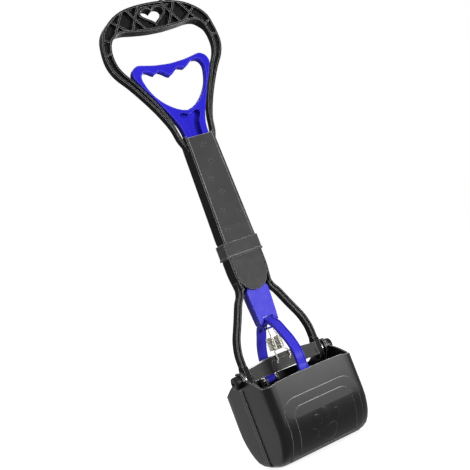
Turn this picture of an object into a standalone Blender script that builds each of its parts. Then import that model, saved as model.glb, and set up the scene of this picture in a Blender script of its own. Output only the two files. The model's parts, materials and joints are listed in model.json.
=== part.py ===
"""A folding pooper scooper: hand loop, sliding trigger, pull rod, wishbone fork and a two-jaw bucket.

The part stands upright with its jaws shut. The front is towards -Y, and the jaws' axle runs along X.
"""

from math import acos, atan2, cos, pi, radians, sin, sqrt

import bmesh
import bpy
from mathutils import Matrix, Vector

MM = 0.001

# Gaps and overlaps shared by all pieces
GAP = 0.3 * MM
COVER_GAP = 0.25 * MM
PIN_GAP = 0.3 * MM
WELD = 0.6 * MM
OVERRUN = 3.0 * MM

# Names of the upper cover's screws
COVER_SCREW_NAMES = ["lower_left_cover_screw", "lower_right_cover_screw", "upper_left_cover_screw",
                     "upper_right_cover_screw"]

# Heights of the joints
AXLE_HEIGHT = 112.5 * MM
FOLD_RISE = 155.5 * MM
FOLD_Y = 5.0 * MM

# Upper shaft, a channel open to the front
SHAFT_HALF_DEPTH = 10.5 * MM
SHAFT_WALL = 2.2 * MM
SHAFT_BACK = 2.0 * MM
UPPER_HALF_WIDTH = 23.3 * MM
UPPER_STRAIGHT = 12.0 * MM
UPPER_LENGTH = 153.0 * MM
SHAFT_TOP_HALF_WIDTH = 20.5 * MM
SHAFT_TOP_HALF_DEPTH = 9.0 * MM
SHAFT_TOP_TAPER = 18.0 * MM

# Hand loop
LOOP_HALF_WIDTH = 83.0 * MM
LOOP_HEIGHT = 201.0 * MM
LOOP_ROOT_DROP = 19.0 * MM
LOOP_HALF_DEPTH = 5.2 * MM
GRIP_HALF_DEPTH = 8.0 * MM
LOOP_LIP = 2.2 * MM
LOOP_WEB = 3.0 * MM
LOOP_RIB = 2.2 * MM
HEART_HALF_WIDTH = 17.0 * MM
HEART_HEIGHT = 21.5 * MM
HEART_RING = 3.0 * MM
EYELET_RADIUS = 9.0 * MM
EYELET_HOLE_RADIUS = 3.2 * MM
EYELET_HALF_DEPTH = 2.5 * MM
EYELET_DIP = radians(20)

# Shaft covers and their screws
COVER_THICKNESS = 2.2 * MM
COVER_RECESS = 0.2 * MM
COVER_EDGE = 0.5 * MM
BOSS_RADIUS = 2.4 * MM
SCREW_RADIUS = 1.1 * MM
SCREW_HEAD_RADIUS = 2.5 * MM
SCREW_HEAD_DEPTH = 1.4 * MM
SCREW_LENGTH = 12.0 * MM
COVER_SCREW_X = 14.9 * MM
COVER_SCREW_INSET = 32.0 * MM
PLATE_SCREW_DROP = 23.0 * MM
TONGUE_HEIGHT = 24.5 * MM

# Fold of the shaft
EAR_RADIUS = 5.0 * MM
EAR_GAP = 0.4 * MM
LUG_THICKNESS = 2.8 * MM
LUG_HALF_WIDTH = 4.0 * MM
LUG_RISE = 14.0 * MM
FOLD_PIN_RADIUS = 2.0 * MM
RELIEF_HEIGHT = 13.0 * MM
SEAM_GAP = 0.3 * MM

# Lock collar
COLLAR_WALL = 1.5 * MM
COLLAR_HEIGHT = 20.0 * MM
COLLAR_DROP = 10.6 * MM
COLLAR_LIP = 0.6 * MM
COLLAR_LIP_HEIGHT = 2.4 * MM

# Lower shaft and wishbone fork
LOWER_HALF_WIDTH = 24.3 * MM
LOWER_STRAIGHT = 33.0 * MM
LOWER_NECK_HALF_WIDTH = 22.3 * MM
LOWER_NECK_DROP = 48.0 * MM
FORK_ROOT_DROP = 42.0 * MM
FORK_WIDTH = 6.2 * MM
FORK_HALF_DEPTH = 5.75 * MM
FORK_LIP = 1.6 * MM
FORK_GROOVE = 1.8 * MM
FOOT_THICKNESS = 7.0 * MM
FOOT_RADIUS = 7.0 * MM
FOOT_DROP = 7.0 * MM
FOOT_RISE = 14.0 * MM

# Jaws
JAW_HALF_WIDTH = 65.5 * MM
JAW_REACH = 57.0 * MM
JAW_FLOOR_REACH = 10.0 * MM
JAW_WALL = 2.2 * MM
JAW_RIM_DROP = 14.5 * MM
JAW_RIM_ARCH = 3.0 * MM
RIM_ARCH_POWER = 8
JAW_CURVE_HEIGHT = 52.0 * MM
JAW_CORNER_RADIUS = 9.0 * MM
JAW_EDGE_RADIUS = 9.0 * MM
JAW_EAR_RADIUS = 11.0 * MM
JAW_EAR_GAP = 0.5 * MM
EAR_INSET = 0.1 * MM
JAW_SIDE_RISE = 16.0 * MM
SIDE_RIM_POWER = 1.7
JAW_CORNER_REACH_SHARE = 0.6
INNER_CORNER_SHARE = 0.5
EAR_TAB_SHARES = (1.4, 1.6)
SEAM_HALF_GAP = 0.15 * MM
BAND_WIDTH = 6.6 * MM
BAND_PROUD = 1.2 * MM
PANEL_PROUD = 1.1 * MM
OUTER_PANEL_HALF_WIDTH = 53.0 * MM
OUTER_PANEL_TOP = 76.0 * MM
OUTER_PANEL_CORNER = 18.0 * MM
INNER_PANEL_INSET = 11.0 * MM
INNER_PANEL_CORNER = 14.0 * MM
PANEL_CHAMFER = 0.8 * MM
OUTER_PANEL_START = radians(22)
INNER_PANEL_START = radians(35)

# Axle stack between a jaw's ears and the crossbar
WASHER_THICKNESS = 2.4 * MM
WASHER_RADIUS = 7.0 * MM
BOLT_RADIUS = 3.0 * MM
BOLT_HEAD_RADIUS = 8.5 * MM
BOLT_HEAD_HEIGHT = 8.6 * MM
BOLT_HEAD_SHARES = [(1.0, 0.0), (1.0, 0.64), (0.91, 0.91), (0.71, 1.0)]
BOLT_SOCKET_WIDTH = 2.4 * MM
BOLT_SOCKET_DEPTH = 2.2 * MM
NUT_THICKNESS = 3.4 * MM
NUT_HALF_FLATS = 4.3 * MM

# Crossbar
BAR_LUG_THICKNESS = 3.5 * MM
BAR_LUG_RADIUS = 8.0 * MM
BAR_HALF_DEPTH = 7.0 * MM
BAR_WALL = 1.2 * MM
BAR_DROP = 5.9 * MM
BAR_END_RISE = 9.9 * MM
BAR_ARCH = 4.2 * MM
BAR_BOSS_HALF_WIDTH = 19.0 * MM
BAR_BOSS_HALF_HEIGHT = 6.5 * MM
BAR_BOSS_THICKNESS = 1.0 * MM
SPRING_HOLE_X = 9.4 * MM
SPRING_HOLE_RADIUS = 1.5 * MM
SPRING_HOLE_RISE = 5.0 * MM

# Trigger
TRIGGER_HALF_DEPTH = 5.0 * MM
TRIGGER_EDGE = 1.1 * MM
TRIGGER_NECK_GAP = 1.2 * MM
TRIGGER_NECK_LENGTH = 12.0 * MM
POCKET_DEPTH = 3.0 * MM
STEM_HALF_WIDTH = 11.5 * MM
STEM_HALF_DEPTH = 5.0 * MM

# Link between trigger and pull rod, on the fold's axis
LINK_RADIUS = 3.2 * MM
LINK_TONGUE_HALF_WIDTH = 4.0 * MM
LINK_CHEEK = 4.2 * MM
LINK_PIN_RADIUS = 1.5 * MM

# Pull rod
BOX_HALF_WIDTH = 15.8 * MM
BOX_FOOT_HALF_WIDTH = 13.5 * MM
BOX_HALF_DEPTH = 7.4 * MM
BOX_HEIGHT = 50.0 * MM
BOX_WIDEST_RISE = 33.0 * MM
BOX_SHOULDER = 6.0 * MM
ARCH_HEIGHT = 7.0 * MM
ARCH_DEPTH = 0.9 * MM
SPRING_BAR_DROP = 11.0 * MM
SPRING_BAR_RADIUS = 1.3 * MM
SPRING_EAR_HALF_WIDTH = 2.4 * MM
SPRING_EAR_THICKNESS = 2.4 * MM

# Arms from the pull rod to the jaws
ARM_HALF_WIDTH = 6.0 * MM
ARM_THICKNESS = 4.5 * MM
ARM_LIP = 1.2 * MM
ARM_LIP_HEIGHT = 0.8 * MM
KNUCKLE_RADIUS = 3.3 * MM
ARM_PIN_RADIUS = 1.5 * MM
PIVOT_RISE = 58.5 * MM
PIVOT_Y = 3.6 * MM
EYE_RADIUS = 3.8 * MM
EYE_PIN_RADIUS = 2.0 * MM
EYE_INSET = 8.0 * MM
EYE_DROP = 1.8 * MM

# Slotted lugs inside the jaws
JAW_LUG_GAP = 1.2 * MM
JAW_LUG_THICKNESS = 2.5 * MM
JAW_LUG_RISE = 4.5 * MM
JAW_LUG_DROP = 6.4 * MM
JAW_LUG_REACH = 6.5 * MM
SLOT_HALF_TRAVEL = 2.2 * MM
SLOT_GAP = 0.65 * MM
SLOT_SHIFT_Y = -0.15 * MM
SLOT_SHIFT_Z = 0.35 * MM
SLOT_TILT = radians(19.2)

# Springs
SPRING_X = 5.5 * MM
SPRING_RADIUS = 4.5 * MM
SPRING_WIRE_RADIUS = 0.7 * MM
SPRING_PITCH = 1.86 * MM
SPRING_TURNS = 9
SPRING_BASE_RISE = 19.0 * MM
SPRING_HOOK_X = 4.0 * MM
HOOK_CLEARANCE = 0.5 * MM
HOOK_TURN = radians(160)

# Counts of facets
ROUND_SIDES = 24
SMALL_ROUND_SIDES = 12
HEART_POINTS = 24
PATH_STEPS = 2
CURL_POINTS = 8
JAW_CURVE_STEPS = 8
JAW_CORNER_STEPS = 4
JAW_SIDE_STEPS = 5
PANEL_STEPS = 7
PANEL_CORNER_STEPS = 5
BAND_STEPS = 6
HOOK_STEPS = 5

# Places worked out from the sizes above
FOLD_HEIGHT = AXLE_HEIGHT + FOLD_RISE
SHAFT_TOP = FOLD_HEIGHT + UPPER_LENGTH
LOOP_ROOT = SHAFT_TOP - LOOP_ROOT_DROP
RIM_HEIGHT = AXLE_HEIGHT - JAW_RIM_DROP
PIVOT_HEIGHT = AXLE_HEIGHT + PIVOT_RISE
EYE_Y = JAW_REACH - JAW_WALL - EYE_INSET
EYE_HEIGHT = RIM_HEIGHT - EYE_DROP
FRONT_EAR_INNER = JAW_HALF_WIDTH - JAW_WALL
REAR_EAR_OUTER = FRONT_EAR_INNER - GAP
REAR_EAR_INNER = REAR_EAR_OUTER - JAW_WALL
WASHER_INNER = REAR_EAR_INNER - GAP - WASHER_THICKNESS
FOOT_OUTER = WASHER_INNER - GAP
FOOT_INNER = FOOT_OUTER - FOOT_THICKNESS
BAR_LUG_OUTER = FOOT_INNER - GAP
BAR_LUG_INNER = BAR_LUG_OUTER - BAR_LUG_THICKNESS
NUT_OUTER = BAR_LUG_INNER - GAP
NUT_INNER = NUT_OUTER - NUT_THICKNESS
COVER_FACE = SHAFT_HALF_DEPTH - COVER_RECESS
SPRING_BAR_HEIGHT = PIVOT_HEIGHT - SPRING_BAR_DROP
SLOT_HALF_WIDTH = ARM_HALF_WIDTH + JAW_LUG_GAP

# Hand loop: outer and inner edge of the moulding as shares of its half width and its height
ROOT_SHARE = 0.247
ROOT_REACH_SHARE = 0.3
LOOP_SHARES = [
    (0.249, 0.000, 0.231, 0.000), (0.276, 0.040, 0.239, 0.045), (0.323, 0.090, 0.272, 0.095),
    (0.347, 0.149, 0.300, 0.154), (0.388, 0.204, 0.328, 0.214), (0.493, 0.299, 0.417, 0.311),
    (0.629, 0.398, 0.553, 0.418), (0.786, 0.498, 0.694, 0.522), (0.886, 0.550, 0.787, 0.577),
    (0.958, 0.602, 0.843, 0.627), (0.996, 0.657, 0.863, 0.672), (1.000, 0.716, 0.861, 0.721),
    (0.980, 0.781, 0.831, 0.771), (0.922, 0.846, 0.777, 0.808), (0.831, 0.896, 0.693, 0.831),
    (0.675, 0.945, 0.566, 0.836), (0.506, 0.976, 0.434, 0.829), (0.337, 0.991, 0.289, 0.822),
    (0.169, 0.998, 0.145, 0.817), (0.000, 1.000, 0.000, 0.816),
]
GRIP_START_SHARE = 0.78
GRIP_FULL_SHARE = 0.84
LIP_LIMIT_SHARE = 0.36
RIB_STATION_SHARES = [0.578, 0.655]
CROSS_X_SHARES = [0.309, 0.611]
CROSS_SPREAD_SHARE = 0.115
EYELET_X_SHARE = 0.325
HEART_CENTRE_SHARE = 0.921
HEART_CURVE_HALF_WIDTH = 16
HEART_CURVE_HEIGHT = 28.9

# Trigger: right side of its outline and the finger opening, as shares of the loop's sizes
TRIGGER_SHARES = [
    (0.212, 0.129), (0.224, 0.159), (0.254, 0.199), (0.306, 0.249), (0.367, 0.299), (0.430, 0.348),
    (0.489, 0.398), (0.566, 0.448), (0.630, 0.498), (0.672, 0.537), (0.674, 0.567), (0.633, 0.595),
    (0.566, 0.611), (0.506, 0.612), (0.410, 0.604), (0.241, 0.592), (0.000, 0.585),
]
OPENING_SHARES = [
    (0.000, 0.265), (0.151, 0.286), (0.265, 0.318), (0.353, 0.351), (0.440, 0.398), (0.500, 0.448),
    (0.536, 0.498), (0.545, 0.527), (0.530, 0.552), (0.488, 0.571), (0.422, 0.577), (0.349, 0.570),
    (0.289, 0.552), (0.241, 0.540), (0.199, 0.535), (0.104, 0.547), (0.036, 0.532), (-0.072, 0.504),
    (-0.157, 0.527), (-0.241, 0.547), (-0.325, 0.532), (-0.398, 0.552), (-0.458, 0.562),
    (-0.518, 0.552), (-0.542, 0.527), (-0.534, 0.498), (-0.500, 0.448), (-0.440, 0.398),
    (-0.353, 0.351), (-0.265, 0.318), (-0.151, 0.286),
]
POCKET_SHARES = [
    (0.102, 0.090), (0.108, 0.149), (0.133, 0.189), (0.189, 0.224), (0.178, 0.246), (0.120, 0.254),
    (0.060, 0.244), (0.000, 0.234),
]

# Wishbone arm: shares of the way from the shaft's wall out to the foot, and from the axle to the root
FORK_SHARES = [
    (0.00, 1.000), (0.03, 0.912), (0.11, 0.841), (0.24, 0.789), (0.39, 0.700), (0.53, 0.612),
    (0.68, 0.524), (0.83, 0.436), (0.93, 0.348), (0.99, 0.260), (1.00, 0.172), (1.00, 0.084),
]

# Places along a jaw's front between its corners
JAW_FRONT_SHARES = [0.86, 0.45, 0.0, -0.45, -0.86]

# Curved strap: shares of the way from the rod's pivot to the jaw's pin, along Y and down Z
ARM_SHARES = [
    (0.000, 0.000), (0.370, 0.116), (0.550, 0.244), (0.730, 0.373), (0.860, 0.500), (0.943, 0.629),
    (0.962, 0.757), (0.938, 0.886), (1.000, 1.000),
]


def clear_scene():
    """Start from an empty scene."""
    for old in list(bpy.data.objects):
        bpy.data.objects.remove(old)


def make_material(name, colour, roughness, metallic):
    """Return a Principled material of one colour."""
    material = bpy.data.materials.new(name)
    material.use_nodes = True
    shader = material.node_tree.nodes["Principled BSDF"]
    shader.inputs["Base Color"].default_value = (*colour, 1.0)
    shader.inputs["Roughness"].default_value = roughness
    shader.inputs["Metallic"].default_value = metallic
    return material


def black_plastic(name):
    """Satin black moulded plastic."""
    return make_material(name, (0.012, 0.012, 0.013), 0.42, 0.0)


def blue_plastic(name):
    """Royal blue moulded plastic."""
    return make_material(name, (0.030, 0.010, 0.560), 0.38, 0.0)


def steel(name):
    """Bright plated steel."""
    return make_material(name, (0.62, 0.62, 0.63), 0.28, 1.0)


def object_of(shape, name="shape"):
    """Turn a bmesh into a scene object with its faces pointing out."""
    bmesh.ops.recalc_face_normals(shape, faces=shape.faces)
    mesh = bpy.data.meshes.new(name)
    shape.to_mesh(mesh)
    shape.free()
    made = bpy.data.objects.new(name, mesh)
    bpy.context.scene.collection.objects.link(made)
    return made


def combine(target, tool, operation):
    """Apply one exact Boolean to the target and remove the tool."""
    modifier = target.modifiers.new("combine", "BOOLEAN")
    modifier.solver = "EXACT"
    modifier.operation = operation
    modifier.object = tool
    evaluated = target.evaluated_get(bpy.context.evaluated_depsgraph_get())
    mesh = bpy.data.meshes.new_from_object(evaluated)
    target.modifiers.clear()
    close_cracks(mesh)
    target.data = mesh
    bpy.data.objects.remove(tool)
    return target


def close_cracks(mesh):
    """Fill any sliver that a Boolean left open."""
    shape = bmesh.new()
    shape.from_mesh(mesh)
    cracks = [edge for edge in shape.edges if len(edge.link_faces) < 2]
    if cracks:
        bmesh.ops.holes_fill(shape, edges=cracks, sides=0)
        shape.to_mesh(mesh)
    shape.free()


def join(target, *tools):
    """Unite the tools with the target."""
    for tool in tools:
        combine(target, tool, "UNION")
    return target


def cut(target, *tools):
    """Cut the tools out of the target."""
    for tool in tools:
        combine(target, tool, "DIFFERENCE")
    return target


def name_piece(piece, name, material):
    """Name a finished piece, give it its material and smooth its round faces."""
    piece.name = name
    piece.data.name = name
    piece.data.materials.clear()
    piece.data.materials.append(material)
    if piece.type == "MESH":
        piece.data.shade_smooth()
        piece.data.set_sharp_from_angle(angle=radians(32))
    return piece


def loft(rings):
    """Bridge rings of equally many points and close both ends."""
    shape = bmesh.new()
    loops = [[shape.verts.new(point) for point in ring] for ring in rings]
    count = len(loops[0])
    for low, high in zip(loops, loops[1:]):
        for i in range(count):
            j = (i + 1) % count
            shape.faces.new((low[i], low[j], high[j], high[i]))
    shape.faces.new(list(reversed(loops[0])))
    shape.faces.new(loops[-1])
    return object_of(shape)


def lay(axis, point, along):
    """Place a flat outline's point in the plane square to an axis."""
    u, v = point
    return {"X": (along, u, v), "Y": (u, along, v), "Z": (u, v, along)}[axis]


def grow(outline, distance):
    """Move each point of a closed outline outwards along its mitre."""
    area = sum(p[0] * q[1] - q[0] * p[1] for p, q in zip(outline, outline[1:] + outline[:1]))
    side = 1.0 if area > 0 else -1.0
    moved = []
    for before, here, after in zip(outline[-1:] + outline[:-1], outline, outline[1:] + outline[:1]):
        first = Vector((here[0] - before[0], here[1] - before[1])).normalized()
        second = Vector((after[0] - here[0], after[1] - here[1])).normalized()
        normal = Vector((first.y + second.y, -first.x - second.x)) * side
        normal.normalize()
        lean = max(0.5, normal.dot(Vector((second.y, -second.x)) * side))
        moved.append((here[0] + normal.x * distance / lean, here[1] + normal.y * distance / lean))
    return moved


def prism(outline, axis, low, high, edge=0.0):
    """Extrude an outline along an axis; edge chamfers its rims, and a negative edge flares them."""
    levels = [(low, 0.0), (high, 0.0)]
    if edge:
        rim = abs(edge)
        levels = [(low, -edge), (low + rim, 0.0), (high - rim, 0.0), (high, -edge)]
    rings = []
    for along, change in levels:
        ring = grow(outline, change) if change else outline
        rings.append([lay(axis, point, along) for point in ring])
    return loft(rings)


def turned(profile, axis, centre, sides=SMALL_ROUND_SIDES):
    """Turn a profile of radius and place along the axis, low end first."""
    rings = []
    for radius, along in profile:
        rings.append([lay(axis, point, along) for point in circle(centre, radius, sides)])
    return loft(rings)


def circle(centre, radius, sides=ROUND_SIDES):
    """Points of a circle."""
    steps = [2 * pi * i / sides for i in range(sides)]
    return [(centre[0] + radius * cos(t), centre[1] + radius * sin(t)) for t in steps]


def capsule(start, end, radius, sides=SMALL_ROUND_SIDES):
    """Outline of a round-ended bar between two centres."""
    heading = atan2(end[1] - start[1], end[0] - start[0])
    outline = []
    for centre, first in ((end, heading - pi / 2), (start, heading + pi / 2)):
        for i in range(sides // 2 + 1):
            turn = first + pi * i / (sides // 2)
            outline.append((centre[0] + radius * cos(turn), centre[1] + radius * sin(turn)))
    return outline


def block(x_low, x_high, y_low, y_high, z_low, z_high):
    """A box between six planes."""
    return prism([(x_low, y_low), (x_high, y_low), (x_high, y_high), (x_low, y_high)], "Z", z_low, z_high)


def smooth_path(points, steps, closed=False):
    """Read points from a smooth curve through the given ones."""
    count = len(points)
    path = []
    for i in range(count if closed else count - 1):
        if closed:
            p0, p1, p2, p3 = (points[(i + k) % count] for k in (-1, 0, 1, 2))
        else:
            p0, p1, p2, p3 = (points[min(max(i + k, 0), count - 1)] for k in (-1, 0, 1, 2))
        for step in range(steps):
            t = step / steps
            path.append(tuple(
                0.5 * (2 * b + (c - a) * t + (2 * a - 5 * b + 4 * c - d) * t**2
                       + (3 * b - a - 3 * c + d) * t**3)
                for a, b, c, d in zip(p0, p1, p2, p3)))
    if not closed:
        path.append(tuple(points[-1]))
    return path


def mirrored(points):
    """Add the left side to the right side of an outline, with any point on the middle kept once."""
    left = [(-x, z) for x, z in reversed(points) if x > 0]
    return points + left


def handle_point(x_share, z_share):
    """Place a point of the handle's plane; near the root it follows the shaft's width."""
    near_root = max(0.0, 1.0 - z_share / ROOT_REACH_SHARE) * min(1.0, abs(x_share) / ROOT_SHARE)
    shift = SHAFT_TOP_HALF_WIDTH - ROOT_SHARE * LOOP_HALF_WIDTH
    x = x_share * LOOP_HALF_WIDTH + near_root * (shift if x_share > 0 else -shift)
    return x, LOOP_ROOT + z_share * LOOP_HEIGHT


def upper_half_width(height):
    """Half width of the upper shaft at a height."""
    start = FOLD_HEIGHT + UPPER_STRAIGHT
    share = min(1.0, max(0.0, (height - start) / (LOOP_ROOT - start)))
    return UPPER_HALF_WIDTH + share * (SHAFT_TOP_HALF_WIDTH - UPPER_HALF_WIDTH)


def channel_ring(half_width, half_depth, height):
    """Section of a channel that is open to the front."""
    inner = half_width - SHAFT_WALL
    back = half_depth - SHAFT_BACK
    outline = [(-half_width, -half_depth), (-inner, -half_depth), (-inner, back), (inner, back),
               (inner, -half_depth), (half_width, -half_depth), (half_width, half_depth),
               (-half_width, half_depth)]
    return [(x, y, height) for x, y in outline]


def ribbed_ring(outer, inner, half_depth, lip, half_web):
    """Section between two points of the handle's plane: two lips and a thinner web."""
    start = Vector((outer[0], 0.0, outer[1]))
    span = Vector((inner[0], 0.0, inner[1])) - start
    length = span.length
    lip = min(lip, LIP_LIMIT_SHARE * length)
    across = span.normalized()
    section = [(0.0, -half_depth), (lip, -half_depth), (lip, -half_web), (length - lip, -half_web),
               (length - lip, -half_depth), (length, -half_depth), (length, half_depth),
               (length - lip, half_depth), (length - lip, half_web), (lip, half_web),
               (lip, half_depth), (0.0, half_depth)]
    return [start + across * along + Vector((0.0, y, 0.0)) for along, y in section]


def loop_half_depth(z_share):
    """Half depth of the hand loop: slim arms and a deeper grip."""
    share = (z_share - GRIP_START_SHARE) / (GRIP_FULL_SHARE - GRIP_START_SHARE)
    share = min(1.0, max(0.0, share))
    return LOOP_HALF_DEPTH + share * (GRIP_HALF_DEPTH - LOOP_HALF_DEPTH)


def loop_stations():
    """Outer point, inner point and half depth along the right half of the loop."""
    stations = []
    for outer_x, outer_z, inner_x, inner_z in smooth_path(LOOP_SHARES, PATH_STEPS):
        stations.append((handle_point(outer_x, outer_z), handle_point(inner_x, inner_z),
                         loop_half_depth(outer_z)))
    return stations


def hand_loop():
    """The swept moulding of the loop, from its right root over the top to its left root."""
    right = loop_stations()
    left = [((-o[0], o[1]), (-i[0], i[1]), depth) for o, i, depth in reversed(right[:-1])]
    rings = []
    for outer, inner, depth in right + left:
        rings.append(ribbed_ring(outer, inner, depth, LOOP_LIP, LOOP_WEB / 2))
    return loft(rings)


def bar_between(start, end, width, half_depth):
    """A straight rib in the handle's plane."""
    along = Vector((end[0] - start[0], end[1] - start[1])).normalized()
    side = Vector((-along.y, along.x)) * (width / 2)
    outline = [(start[0] + side.x, start[1] + side.y), (start[0] - side.x, start[1] - side.y),
               (end[0] - side.x, end[1] - side.y), (end[0] + side.x, end[1] + side.y)]
    return prism(outline, "Y", -half_depth, half_depth)


def arm_ribs():
    """Short ribs across the grooves of the loop's arms."""
    stations = loop_stations()
    ribs = []
    for share in RIB_STATION_SHARES:
        outer, inner, depth = stations[round(share * (len(stations) - 1))]
        for side in (1, -1):
            start = (side * (outer[0] - LOOP_LIP / 2), outer[1])
            end = (side * (inner[0] + LOOP_LIP / 2), inner[1])
            ribs.append(bar_between(start, end, LOOP_RIB, depth - WELD / 2))
    return ribs


def loop_edges(x):
    """Heights of the inner and the outer edge of the grip at a place along it."""
    found = []
    stations = [s for s in loop_stations() if s[0][1] > LOOP_ROOT + GRIP_START_SHARE * LOOP_HEIGHT]
    for which in (1, 0):
        best = min(stations, key=lambda station: abs(station[which][0] - abs(x)))
        found.append(best[which][1])
    return found


def grip_crosses():
    """Crossed ribs in the grip, two on each side of the heart."""
    ribs = []
    spread = CROSS_SPREAD_SHARE * LOOP_HALF_WIDTH
    top = GRIP_HALF_DEPTH - WELD / 2
    for share in CROSS_X_SHARES:
        for side in (1, -1):
            middle = side * share * LOOP_HALF_WIDTH
            for lean, half_depth in ((1, top), (-1, top - GAP / 2)):
                low_x = middle - lean * spread
                high_x = middle + lean * spread
                start = (low_x, loop_edges(low_x)[0] + LOOP_LIP / 2)
                end = (high_x, loop_edges(high_x)[1] - LOOP_LIP / 2)
                ribs.append(bar_between(start, end, LOOP_RIB, half_depth))
    return ribs


def heart(half_width, height):
    """Outline of a heart with its tip down."""
    wide = half_width / HEART_CURVE_HALF_WIDTH
    tall = height / HEART_CURVE_HEIGHT
    centre = LOOP_ROOT + HEART_CENTRE_SHARE * LOOP_HEIGHT
    outline = []
    for i in range(HEART_POINTS):
        t = 2 * pi * i / HEART_POINTS
        x = HEART_CURVE_HALF_WIDTH * sin(t) ** 3
        z = 13 * cos(t) - 5 * cos(2 * t) - 2 * cos(3 * t) - cos(4 * t)
        outline.append((wide * x, centre + tall * z))
    return outline


def eyelet():
    """Hanging eye on top of the grip and the hole through it."""
    x = EYELET_X_SHARE * LOOP_HALF_WIDTH
    top = loop_edges(x)[1]
    outline = []
    for i in range(SMALL_ROUND_SIDES + 1):
        turn = pi * i / SMALL_ROUND_SIDES + EYELET_DIP * (2 * i / SMALL_ROUND_SIDES - 1)
        outline.append((x + EYELET_RADIUS * cos(turn), top - WELD + EYELET_RADIUS * sin(turn)))
    disc = prism(outline, "Y", -EYELET_HALF_DEPTH, EYELET_HALF_DEPTH)
    middle = top - WELD + (EYELET_RADIUS + LOOP_LIP / 2) / 2
    hole = turned([(EYELET_HOLE_RADIUS, -EYELET_HALF_DEPTH - OVERRUN),
                   (EYELET_HOLE_RADIUS, EYELET_HALF_DEPTH + OVERRUN)], "Y", (x, middle))
    return disc, hole


def upper_shaft():
    """Channel of the upper shaft from the fold to the root of the loop."""
    low = FOLD_HEIGHT + SEAM_GAP / 2
    straight = FOLD_HEIGHT + UPPER_STRAIGHT
    taper = SHAFT_TOP - SHAFT_TOP_TAPER
    return loft([
        channel_ring(UPPER_HALF_WIDTH, SHAFT_HALF_DEPTH, low),
        channel_ring(UPPER_HALF_WIDTH, SHAFT_HALF_DEPTH, straight),
        channel_ring(upper_half_width(taper), SHAFT_HALF_DEPTH, taper),
        channel_ring(SHAFT_TOP_HALF_WIDTH, SHAFT_TOP_HALF_DEPTH, SHAFT_TOP),
    ])


def relief(direction):
    """Wedge cut from the back of the shaft so that the fold can close; direction is up or down."""
    reach = SHAFT_HALF_DEPTH - FOLD_Y
    slope = direction * RELIEF_HEIGHT / reach
    beyond = reach + OVERRUN
    outline = [(FOLD_Y, FOLD_HEIGHT + direction * EAR_GAP),
               (FOLD_Y + beyond, FOLD_HEIGHT + direction * EAR_GAP + slope * beyond),
               (FOLD_Y + beyond, FOLD_HEIGHT - direction * OVERRUN),
               (FOLD_Y, FOLD_HEIGHT - direction * OVERRUN)]
    wide = LOWER_HALF_WIDTH + OVERRUN
    return prism(outline, "X", -wide, wide)


def across_pair(outline, inner, outer):
    """The same prism along X on the right and on the left."""
    return [prism(outline, "X", inner, outer), prism(outline, "X", -outer, -inner)]


def fold_pin_holes(clearance):
    """Holes for the fold's stub pins through ears and lugs."""
    outline = circle((FOLD_Y, FOLD_HEIGHT), FOLD_PIN_RADIUS + clearance, SMALL_ROUND_SIDES)
    inner = UPPER_HALF_WIDTH - SHAFT_WALL - LUG_THICKNESS - OVERRUN
    return across_pair(outline, inner, LOWER_HALF_WIDTH + OVERRUN)


def screw_profile(clearance):
    """Countersunk screw from its tip to its head, whose face is flush with the shaft's back."""
    face = SHAFT_HALF_DEPTH - COVER_GAP
    under = face - SCREW_HEAD_DEPTH
    if clearance:
        return [(SCREW_RADIUS + clearance, face - SCREW_LENGTH - clearance),
                (SCREW_RADIUS + clearance, under - clearance),
                (SCREW_HEAD_RADIUS + clearance, face - clearance),
                (SCREW_HEAD_RADIUS + clearance, SHAFT_HALF_DEPTH + OVERRUN)]
    return [(SCREW_RADIUS, face - SCREW_LENGTH), (SCREW_RADIUS, under), (SCREW_HEAD_RADIUS, face)]


def screws(places, clearance):
    """One screw, or one screw hole, for each place."""
    return [turned(screw_profile(clearance), "Y", place) for place in places]


def cover_screw_places():
    """Places of the four screws of the upper cover: lower left and right, upper left and right."""
    heights = (FOLD_HEIGHT + COVER_SCREW_INSET, SHAFT_TOP - COVER_SCREW_INSET)
    return [(side * COVER_SCREW_X, height) for height in heights for side in (-1, 1)]


def plate_screw_places():
    """Places of the two screws of the lower plate, left and right of the pull rod's box."""
    inner = LOWER_HALF_WIDTH - SHAFT_WALL
    middle = (inner + BOX_HALF_WIDTH) / 2
    return [(side * middle, FOLD_HEIGHT - PLATE_SCREW_DROP) for side in (-1, 1)]


def build_handle_frame():
    """Hand loop and upper shaft, one moulding."""
    loop = hand_loop()
    ring = heart(HEART_HALF_WIDTH + HEART_RING, HEART_HEIGHT + 2 * HEART_RING)
    join(loop, prism(ring, "Y", -GRIP_HALF_DEPTH + WELD, GRIP_HALF_DEPTH - WELD))
    through = GRIP_HALF_DEPTH + OVERRUN
    cut(loop, prism(heart(HEART_HALF_WIDTH, HEART_HEIGHT), "Y", -through, through))
    join(loop, *grip_crosses(), *arm_ribs())
    disc, hole = eyelet()
    cut(join(loop, disc), hole)
    frame = cut(join(upper_shaft(), loop), relief(1))
    ear = circle((FOLD_Y, FOLD_HEIGHT), EAR_RADIUS + EAR_GAP)
    wall_inner = UPPER_HALF_WIDTH - SHAFT_WALL
    cut(frame, *across_pair(ear, wall_inner - WELD, LOWER_HALF_WIDTH))
    lug = capsule((FOLD_Y, FOLD_HEIGHT), (FOLD_Y, FOLD_HEIGHT + LUG_RISE), LUG_HALF_WIDTH)
    lug_outer = wall_inner + GAP
    join(frame, *across_pair(lug, lug_outer - LUG_THICKNESS, lug_outer))
    cut(frame, *fold_pin_holes(PIN_GAP), *screws(cover_screw_places(), GAP))
    return name_piece(frame, "handle_frame", black_plastic("handle_black"))


def cover_posts(places):
    """Screw bosses behind a cover, reaching to the shaft's back wall."""
    start = -COVER_FACE + COVER_THICKNESS - WELD
    end = SHAFT_HALF_DEPTH - SHAFT_BACK - GAP
    return [turned([(BOSS_RADIUS, start), (BOSS_RADIUS, end)], "Y", place) for place in places]


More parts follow.
